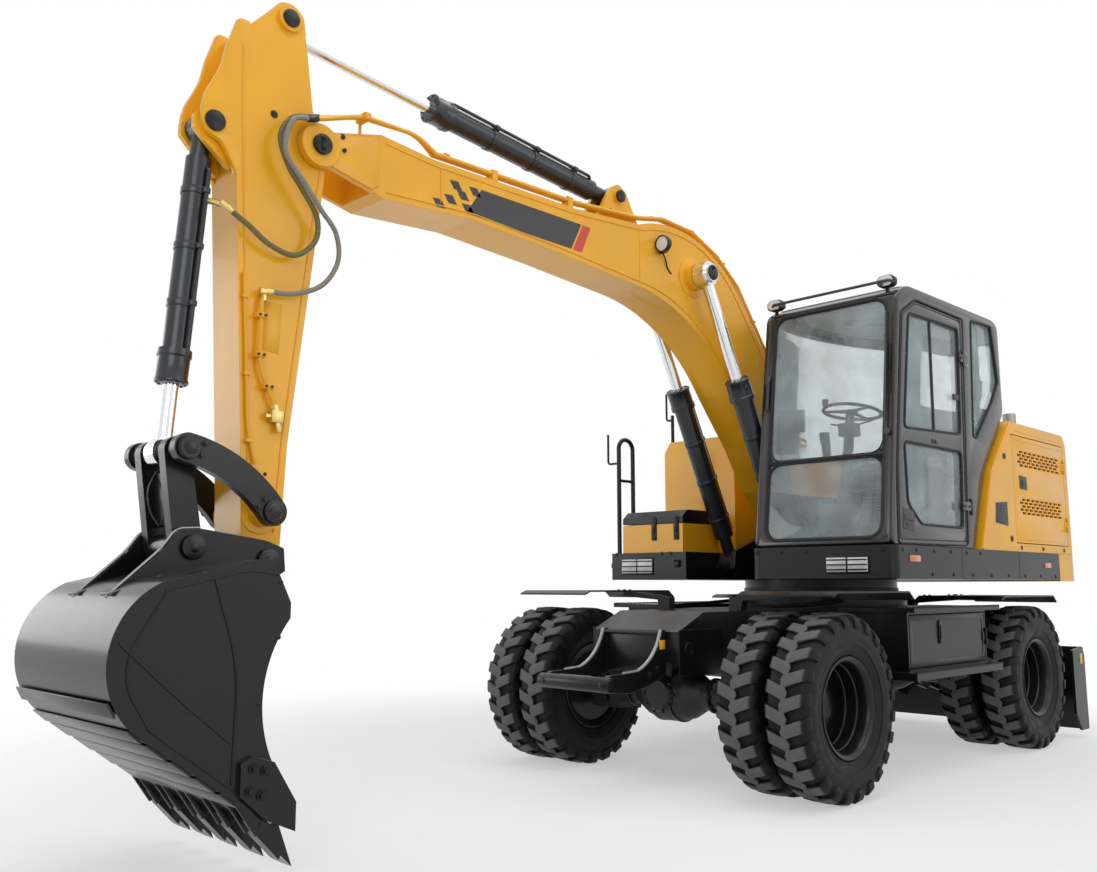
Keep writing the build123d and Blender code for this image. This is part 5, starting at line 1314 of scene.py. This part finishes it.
for edge in (1, -1):
    y = BOOM_Y + edge * 151.5
    for seam in (UPPER_SEAM, LOWER_SEAM):
        pipe(boom_lines, level(y, seam), 0.0035, 0.04, 8)
    for x, low, high in ((3690, 3176, 3366), (2056, 3096, 3434), (760, 2230, 2880)):
        pipe(boom_lines, path((x, y, low), (x + 3, y, high)), 0.003, 0.01, 8)
    boss(boom_lines, *LIFT_PIN, BOOM_Y + edge * 149, BOOM_Y + edge * 156, 140, 48)
piece("boom_lines", boom_lines, yellow, "boom_body")

for edge in (1, -1):
    near, far = mirrored(edge, 165, 186)
    boss(boom_fittings, 4434, 3259, near, far, 50, 40)
    outer = far if edge > 0 else near
    for x, z in ((4312, 3339), (4302, 3273)):
        bolt(boom_fittings, at(x, BOOM_Y + edge * 151, z), (0, edge, 0), 0.012)
    box(boom_fittings, (4420, 4448), across(edge, -1, 7, outer), (3225, 3293), 0.003)
    for z in (3236, 3282):
        bolt(boom_fittings, at(4434, outer + edge * 6, z), (0, edge, 0), 0.008)
    boss(boom_fittings, *ARM_BASE, *mirrored(edge, 96, 112), 40, 32)
piece("boom_fittings", boom_fittings, black, "boom_body")

DECAL = 1.2  # thickness in millimetres
# Bare stripe with its squares and red end, on the boom's left side
decal, accent = bmesh.new(), bmesh.new()
plate(decal, [(3405, 3326), (3512, 3165), (2690, 3158), (2604, 3330)], 0, DECAL, 0)
for x, z in ((3450, 3300), (3536, 3256), (3622, 3212), (3500, 3192), (3586, 3300), (3700, 3170)):
    plate(decal, [(x + 14, z - 24), (x - 44, z - 20), (x - 14, z + 24), (x + 44, z + 20)], 0, DECAL, 0)
piece("boom_stripe", decal, gloss_black, "boom_body")
plate(accent, [(2590, 3330), (2676, 3158), (2600, 3156), (2520, 3330)], 0, DECAL, 0)
piece("boom_stripe_end", accent, signal_red, "boom_body")

# Work lamp on the boom
LAMP_PLACE, LAMP_WAY = at(1880, 56, 3370), (1, 0, -0.1)
LAMP_BOWL = [(-45, 0), (-45, 30), (-20, 52), (20, 56), (24, 50), (12, 48), (12, 0)]
boom_lamp, boom_lens = bmesh.new(), bmesh.new()
box(boom_lamp, (1840, 1862), (0, 60), (3320, 3332), 0.002)
lathe(boom_lamp, section(LAMP_BOWL), LAMP_PLACE, LAMP_WAY, 36)
pipe(boom_lamp, path((1850, 20, 3330), (1800, 10, 3290), (1780, 4, 3240), (1740, 4, 3210)), 0.005, 0.03, 8)
piece("boom_lamp", boom_lamp, black, "boom_body")
lathe(boom_lens, section([(10, 0), (10, 48), (16, 48), (20, 30), (22, 0)]), LAMP_PLACE, LAMP_WAY, 36)
piece("boom_lamp_lens", boom_lens, lens, "boom_body")

# Arm: wide ears at its top, seams, bare sign plate, pipes and coupling
arm_steel, arm_dark, arm_brass = bmesh.new(), bmesh.new(), bmesh.new()
EAR = [
    (4800, 3762), (4864, 3762), (4886, 3690), (4910, 3620), (4934, 3503), (4969, 3422), (4998, 3365),
    (5015, 3300),
    (5017, 3215), (4985, 3165), (4921, 3145), (4888, 3096), (4838, 3003), (4800, 3100),
]
for edge in (1, -1):
    side_panel(arm_steel, [EAR], *mirrored(edge, 88, 118.6), 0.004, 0.02)
    boss(arm_steel, *CROWD_BASE, *mirrored(edge, 54, 90), 54, 40)
    boss(arm_dark, *CROWD_BASE, *mirrored(edge, 118, 132), 48, 40)
    boss(arm_dark, *ARM_PIN, *mirrored(edge, 137, 147), 44, 40)
    boss(arm_dark, 4666, 3352, *mirrored(edge, 117, 121), 19, 28, 0.001)
    y = BOOM_Y + edge * 119.5
    for seam in (
        [(4410, 3150), (4432, 2974), (4484, 2518), (4566, 1802), (4588, 1400)],
        [(4708, 1400), (4730, 1709), (4792, 2735), (4830, 3380), (4836, 3640)],
        [(4588, 1560), (4650, 1420), (4716, 1560)],
    ):
        pipe(arm_steel, level(y, seam), 0.0035, 0.04, 8)
    boss(arm_steel, *ROCKER_PIN, *mirrored(edge, 116, 124), 92, 44)
    boss(arm_steel, *BUCKET_PIN, *mirrored(edge, 116, 122), 84, 44)
    for x, z in ((4700, 1640), (4640, 1660)):
        boss(arm_dark, x, z, *mirrored(edge, 117, 120), 9, 20, 0.001)
pipe(arm_steel, level(-6, [(4692, 2478), (4704, 2440), (4705, 2150), (4612, 1945)]), 0.011, 0.05)
pipe(arm_steel, level(-20, [(4790, 2560), (4772, 2300), (4742, 1850), (4700, 1700)]), 0.007, 0.05)
for x, z in ((4705, 2371), (4705, 2190), (4660, 2050)):
    box(arm_steel, (x - 26, x + 26), (-32, 10), (z - 11, z + 11), 0.003)
    for screw_x in (x - 14, x + 14):
        rod(arm_dark, at(screw_x, 8, z), at(screw_x, 16, z), 0.007, sides=6)
for x, z in ((4780, 2450), (4757, 2100), (4735, 1800)):
    box(arm_steel, (x - 16, x + 16), (-32, -10), (z - 8, z + 8), 0.002)
plate(arm_steel, [(4679, 2450), (4588, 2450), (4596, 2215), (4683, 2222)], -32, -30.4, 0.0004)
box(arm_brass, (4580, 4640), (-32, 12), (1892, 1948), 0.005)
rod(arm_brass, at(4612, -8, 1942), at(4620, -8, 1972), 0.018, sides=6)
rod(arm_brass, at(4600, -8, 1896), at(4592, -8, 1850), 0.015, sides=20, round_off=0.002)
rod(arm_brass, at(4640, -8, 1920), at(4664, -8, 1920), 0.013, sides=6)
fitting(arm_brass, at(*ARM_HOSE[-1]), at(*ARM_HOSE[-2]) - at(*ARM_HOSE[-1]))
rod(arm_brass, at(4692, -8, 2492), at(4692, -6, 2440), 0.016, sides=6)
box(arm_brass, (4676, 4708), (-32, 10), (2468, 2498), 0.004)
piece("arm_steelwork", arm_steel, yellow, "arm_body", "arm_pipes")
piece("arm_caps", arm_dark, black, "arm_body")
piece("arm_couplings", arm_brass, brass, "arm_body")

port = bmesh.new()
fitting(port, at(*BUCKET_HOSE[-1]), at(*BUCKET_HOSE[-2]) - at(*BUCKET_HOSE[-1]))
pipe(port, path((4903, 2, 2830), (4940, -60, 2860), (4949, -110, 2872)), 0.014, 0.03)
piece("cylinder_port", port, brass, "crowd_barrel")


def cylinder_dress(name, body, base, pin, y, radius, length, gland, pipe_side):
    """Gland with its bolt ring, clamps, the pipe along the barrel, and the cap on the base's pin."""
    mesh, caps = bmesh.new(), bmesh.new()
    start = at(base[0], y, base[1])
    axis = (at(pin[0], y, pin[1]) - start).normalized()
    r, full = radius / 1000, length / 1000
    lathe(mesh, [(0, r), (0, r + 0.016), (0.03, r + 0.018), (0.036, r + 0.012), (gland - 0.02, r + 0.012),
                 (gland - 0.014, r + 0.016), (gland - 0.004, r + 0.016), (gland, r + 0.010),
                 (gland, r - 0.02)],
          start + axis * (full - gland), axis, 40)
    for spot in ring_of(10, start + axis * (full - 0.002), axis, r + 0.002):
        rod(mesh, spot, spot + axis * 0.006, 0.007, sides=6)
    outwards = Vector(pipe_side).normalized()
    for share in (0.26, 0.48, 0.7):
        place = start + axis * (full * share)
        rod(mesh, place - axis * 0.017, place + axis * 0.017, r + 0.005, sides=36, round_off=0.002)
        spot = place + outwards * (r + 0.012)
        rod(mesh, spot - axis * 0.013, spot + axis * 0.013, 0.019, sides=16, round_off=0.003)
    low, high = start + axis * (full * 0.16), start + axis * (full - gland * 0.6)
    pipe(mesh, [low + outwards * (r - 0.01), low + outwards * (r + 0.016) + axis * 0.02,
                high + outwards * (r + 0.016) - axis * 0.03, high + outwards * (r - 0.01)], 0.010, 0.03)
    piece(name, mesh, cylinder_grey, body)
    left = Vector((0, 1, 0))
    rod(caps, start + left * 0.046, start + left * 0.052, 0.04, sides=32, round_off=0.002)
    rod(caps, start + left * 0.051, start + left * 0.058, 0.009, sides=6)
    piece(f"{name}_pin", caps, black, body)


LIFT_Y = (("left", 105, 1), ("right", -405, -1))
for hand, y, edge in LIFT_Y:
    cylinder_dress(f"boom_cylinder_dress_{hand}", f"boom_barrel_{hand}", LIFT_BASE, LIFT_PIN, y, 70, 1377,
        0.15,
                   (-0.86, 0.25, 0.44))
cylinder_dress("arm_cylinder_dress", "arm_barrel", ARM_BASE, ARM_PIN, BOOM_Y, 66, 1485, 0.14,
    (-0.05, 0.8, 0.6))
cylinder_dress("bucket_cylinder_dress", "crowd_barrel", CROWD_BASE, CROWD_PIN, BOOM_Y, 56, 1195, 0.15,
               (-0.35, 0.93, -0.02))
for hand, y, edge in LIFT_Y:
    mesh = bmesh.new()
    boss(mesh, *LIFT_PIN, y + edge * 69, y + edge * 76, 52, 40)
    for z in (LIFT_PIN[1] + 32, LIFT_PIN[1] - 32):
        bolt(mesh, at(LIFT_PIN[0], y + edge * 75, z), (0, edge, 0), 0.009)
    piece(f"lift_pin_cap_{hand}", mesh, black, f"boom_rod_{hand}")

# Rockers, link and bucket
rockers = bmesh.new()
for edge in (1, -1):
    for pin, radius, reach in ((ROCKER_PIN, 44, 262), (CROWD_PIN, 42, 266)):
        boss(rockers, *pin, *mirrored(edge, 245, reach - 4), radius + 8, 40)
        boss(rockers, *pin, *mirrored(edge, 245, reach), radius - 12, 32)
    for x, z in ((4708, 1536), (4736, 1500), (5006, 1700), (4990, 1752)):
        bolt(rockers, at(x, BOOM_Y + edge * 245, z), (0, edge, 0), 0.011)
piece("rocker_caps", rockers, bucket_black, "rocker")

link_parts = bmesh.new()
for edge in (1, -1):
    for pin in (LINK_PIN, BUCKET_PIN):
        boss(link_parts, *pin, *mirrored(edge, 190, 206), 52, 40)
        boss(link_parts, *pin, *mirrored(edge, 205, 211), 22, 6, 0.001)
piece("bucket_pin_caps", link_parts, bucket_black, "bucket_body")
web = bmesh.new()
plate(web, [(5042, 1640), (5070, 1642), (5040, 1420), (5008, 1416)], BOOM_Y - 90, BOOM_Y + 90, 0.004)
pipe(web, path((5068, -190, 1650), (5100, -200, 1560), (5080, -190, 1470), (5050, -170, 1420)), 0.005, 0.04,
    8)
piece("link_web", web, bucket_black, "link")

bucket_wear, bucket_seams, bucket_bright = bmesh.new(), bmesh.new(), bmesh.new()
def wear_band(first, last, inner, outer):
    """Strip across the bucket, on its outline from first to last, with its front end a little thicker."""
    way = (last - first).normalized()
    out = Vector((way.z, 0, -way.x))
    quad = [first + out * inner, last + out * inner, last + out * outer[0], first + out * outer[1]]
    plate(bucket_wear, [(q.x, q.z) for q in quad], BOOM_Y - 474, BOOM_Y + 474, 0.0025)


low_lip, heel = Vector((4772, 0, 238)), Vector((5290, 0, 604))
run = (heel - low_lip).normalized()
for index in range(5):
    first = low_lip + run * (28 + 122 * index)
    wear_band(first, first + run * 100, 0, (9, 13))
shell_arc = [Vector((x, 0, z)) for x, z in arc((5290, 604), (5440, 860), (5249, 1180), 10)]
for index in (0, 2):
    wear_band(shell_arc[index], shell_arc[index + 1], 2, (9, 12))
for edge in (1, -1):
    y = BOOM_Y + edge * 477
    outward = (0, edge, 0)
    for seam in (
        [(5400, 960), (5160, 740), (4942, 560)], [(4760, 1210), (4880, 1230), (5236, 1150)],
        [(5040, 1195), (4926, 850), (4936, 400)], [(5270, 640), (5400, 860), (5225, 1150)],
        [(5270, 640), (4850, 330)],
    ):
        pipe(bucket_seams, level(y, seam), 0.0045, 0.12, 8)
    for x, z in ((4852, 461), (4801, 447), (4865, 376), (4814, 354)):
        bolt(bucket_seams, at(x, BOOM_Y + edge * 498, z), outward, 0.015)
    for x, z in ((4750, 1180), (4752, 960), (4830, 700)):
        boss(bucket_seams, x, z, *mirrored(edge, 474, 478), 10, 16, 0.001)
    plate(bucket_wear, [(5330, 1124), (5140, 1196), (5136, 1212), (5332, 1140)], *mirrored(edge, 108, 226),
        0.003)
    pipe(bucket_bright, level(BOOM_Y + edge * 168,
        [(5335, 1122), (5124, 1314), (5062, 1400), (4962, 1406)]),
         0.006, 0.03, 8)
for y in (-330, 30):
    rod(bucket_seams, at(5236, y, 1180), at(5242, y, 1196), 0.014, sides=24)
for index in range(5):
    y = BOOM_Y + 870 * (index / 4 - 0.5)
    for edge in (1, -1):
        plate(bucket_wear, [(4760, 236), (4812, 290), (4900, 352), (4918, 332), (4822, 196)],
              *across(edge, 30, 44, y), 0.004)
        boss(bucket_seams, 4800, 236, *across(edge, 34, 47, y), 12, 16, 0.002)
    plate(bucket_bright, [(4652, 56), (4700, 82), (4712, 92), (4706, 108)], y - 37, y + 37, 0.002)
piece("bucket_wear_bands", bucket_wear, bucket_black, "bucket_body")
piece("bucket_seams", bucket_seams, black, "bucket_body")
piece("bucket_worn_edges", bucket_bright, worn_steel, "bucket_body")

# Undercarriage
under = bmesh.new()
for spot in ring_of(36, at(0, 0, 1084), (0, 0, 1), 0.588):
    bolt(under, spot, (0, 0, 1), 0.010, 0.014, washer=False)
for edge in (1, -1):
    for x in (1500, 1560):
        for y in (590, 640):
            rod(under, at(x, edge * y, 1136), at(x, edge * y, 1142), 0.010, sides=6)
    for x in (-450, -870, -1000):
        for y in (600, 640):
            rod(under, at(x, edge * y, 1095), at(x, edge * y, 1102), 0.010, sides=6)
    # serrated edges and raised dots of the treads
    for heights in ((1026, 1038), (641, 652)):
        for index in range(50):
            x = -296 + 25.6 * index
            box(under, (x, x + 13), across(edge, 1193, 1205), heights, 0)
    for column in range(25):
        for row in range(3):
            spot = at(-270 + 50 * column, edge * (1150 - 40 * row), 1029)
            rod(under, spot, spot + Vector((0, 0, 0.005)), 0.011, 0.008, 8)
    # slewing hoses under the deck and grease lines
    pipe(under, path((300, edge * 200, 1086), (300, edge * 420, 1070), (900, edge * 430, 1040),
        (1500, edge * 300, 1030),
         (1560, edge * 250, 940)), 0.013, 0.05, 8)
    # axle case bolts and hub flanges
    for axle_x in (FRONT_AXLE_X, REAR_AXLE_X):
        for spot in ring_of(14, at(axle_x, edge * 62, AXLE_Z), (0, edge, 0), 0.160):
            bolt(under, spot, (0, edge, 0), 0.009, 0.012, washer=False)
        rod(under, at(axle_x, edge * 60, AXLE_Z), at(axle_x, edge * 84, AXLE_Z), 0.175, sides=48,
            round_off=0.004)
        rod(under, at(axle_x, edge * 300, AXLE_Z), at(axle_x, edge * 324, AXLE_Z), 0.105, sides=40,
            round_off=0.004)
        for spot in ring_of(10, at(axle_x, edge * 324, AXLE_Z), (0, edge, 0), 0.093):
            bolt(under, spot, (0, edge, 0), 0.008, 0.010, washer=False)
rod(under, at(1925, 0, AXLE_Z), at(1950, 0, AXLE_Z), 0.110, 0.085, 40, 0.004)
for spot in ring_of(10, at(1930, 0, AXLE_Z), (1, 0, 0), 0.112):
    bolt(under, spot, (1, 0, 0), 0.009, 0.012, washer=False)
rod(under, at(1545, -210, 452), at(1545, 210, 452), 0.034, sides=28, round_off=0.003)
rod(under, at(1545, -400, 452), at(1545, 400, 452), 0.018, sides=20)
for x in (-300, 200, 700, 1200):
    for edge in (1, -1):
        pipe(under, path((x, edge * 474, 640), (x, edge * 474, 980)), 0.004, 0.01, 8)
piece("undercarriage_fittings", under, black, "chassis")

for edge, hand in ((1, "left"), (-1, "right")):
    mesh = bmesh.new()
    outline = [(-230, 668), (880, 668), (880, 982), (-230, 982)]
    low, high = sorted((edge * 1117, edge * 1120.5))
    side_panel(mesh, [(outline, 0.02), ([(-190, 706), (840, 706), (840, 944), (-190, 944)], 0.02)], low,
        high, 0.001)
    box(mesh, (446, 478), (edge * 1118, edge * 1128), (800, 948), 0.006)
    box(mesh, (456, 468), (edge * 1126, edge * 1134), (830, 918), 0.004)
    rod(mesh, at(462, edge * 1127, 816), at(462, edge * 1132, 816), 0.009, sides=16)
    piece(f"locker_fittings_{hand}", mesh, black, f"locker_{hand}")

blade_parts, blade_edge = bmesh.new(), bmesh.new()
plate(blade_edge, [(-1908, 60), (-1908, 205), (-1890, 205), (-1894, 60)], -1205, 1205, 0.002)
for index in range(12):
    rod(blade_edge, at(-1908, -1100 + 200 * index, 165), at(-1914, -1100 + 200 * index, 165), 0.015,
        sides=20,
        round_off=0.002)
for y in (-900, -560, 560, 900):
    plate(blade_parts, [(-1836, 100), (-1775, 330), (-1790, 560), (-1842, 660), (-1800, 370)], y - 9, y + 9,
        0.002)
for edge in (1, -1):
    boss(blade_parts, -1180, 430, *across(edge, 316, 330), 44, 36)
    boss(blade_parts, -1180, 430, *across(edge, 180, 194), 44, 36)
    boss(blade_parts, -1480, 500, *across(edge, 176, 184), 30, 28)
rod(blade_parts, at(-1836, -1180, 676), at(-1836, 1180, 676), 0.016, sides=20)
piece("blade_ribs", blade_parts, black, "blade_body")
piece("blade_cutting_edge", blade_edge, worn_steel, "blade_body")

free_hose("hose_to_bucket_cylinder", BUCKET_HOSE, 0.013, olive_braid)
free_hose("hose_to_arm_pipe", ARM_HOSE, 0.012, grey_braid)


# Stage, camera and light

def stage_floor():
    """White paper that fades into the backdrop away from the machine."""
    mesh = bmesh.new()
    bmesh.ops.create_grid(mesh, x_segments=8, y_segments=8, size=80)
    data = bpy.data.meshes.new("floor")
    mesh.to_mesh(data)
    mesh.free()
    floor = bpy.data.objects.new("floor", data)
    bpy.context.collection.objects.link(floor)
    finish = Finish("floor_paper", (0.86, 0.86, 0.86), Roughness=0.9)
    speck = finish.noise(3, 3)
    finish.feed("Base Color", finish.mix(speck, (0.84, 0.84, 0.84, 1), (0.88, 0.88, 0.88, 1)))
    far = finish.node("VectorMath", {"operation": "LENGTH"}, {0: finish.place()}, output="Value").step(2.6,
        6.5)
    glow = finish.node("Emission", inputs={"Color": (1, 1, 1, 1), "Strength": 1.0})
    share = finish.seen() * (0.45 + 0.55 * far)
    finish.show(finish.node("MixShader", inputs={0: share, 1: finish.surface_shader(), 2: glow}))
    data.materials.append(finish.material)


def lamp(name, place, aim, size, power):
    data = bpy.data.lights.new(name, "AREA")
    data.shape = "RECTANGLE"
    data.size, data.size_y = size
    data.energy = power
    made = bpy.data.objects.new(name, data)
    made.location = place
    made.rotation_euler = (Vector(aim) - Vector(place)).to_track_quat("-Z", "Y").to_euler()
    bpy.context.collection.objects.link(made)


stage_floor()
lamp("sky_panel", (0.5, 1.0, 9.0), (0, 0, 1.2), (9, 9), 380)
lamp("front_panel", (8.5, 6.0, 5.0), (0.5, 0, 1.5), (5, 4), 170)
lamp("bucket_side_panel", (5.4, -6.5, 2.8), (3.6, 0, 1.0), (4, 3), 90)
lamp("cab_side_panel", (-3.0, 8.5, 4.5), (-1, 0, 1.5), (6, 4), 120)

world = bpy.data.worlds.new("studio")
world.use_nodes = True
bpy.context.scene.world = world
sky = Nodes(world.node_tree)
soft = sky.tree.nodes["Background"]
soft.inputs["Color"].default_value = (0.95, 0.97, 1.0, 1)
soft.inputs["Strength"].default_value = 0.38
white = sky.node("Background", inputs={"Color": (1, 1, 1, 1), "Strength": 1.0})
backdrop = sky.node("MixShader", inputs={0: sky.seen(), 1: Value(sky, soft.outputs[0]), 2: white})
sky.link(sky.tree.nodes["World Output"].inputs["Surface"], backdrop)

camera = bpy.data.objects.new("camera", bpy.data.cameras.new("camera"))
bpy.context.collection.objects.link(camera)
camera.data.sensor_width = 36
camera.data.lens = 33.88
camera.data.clip_start, camera.data.clip_end = 0.05, 400
camera.location = (5.344, 4.110, 1.167)
yaw, pitch = radians(225.06), radians(8.245)
gaze = Vector((cos(yaw) * cos(pitch), sin(yaw) * cos(pitch), sin(pitch)))
camera.rotation_euler = gaze.to_track_quat("-Z", "Y").to_euler()
bpy.context.scene.camera = camera
bpy.context.scene.view_settings.view_transform = "Standard"
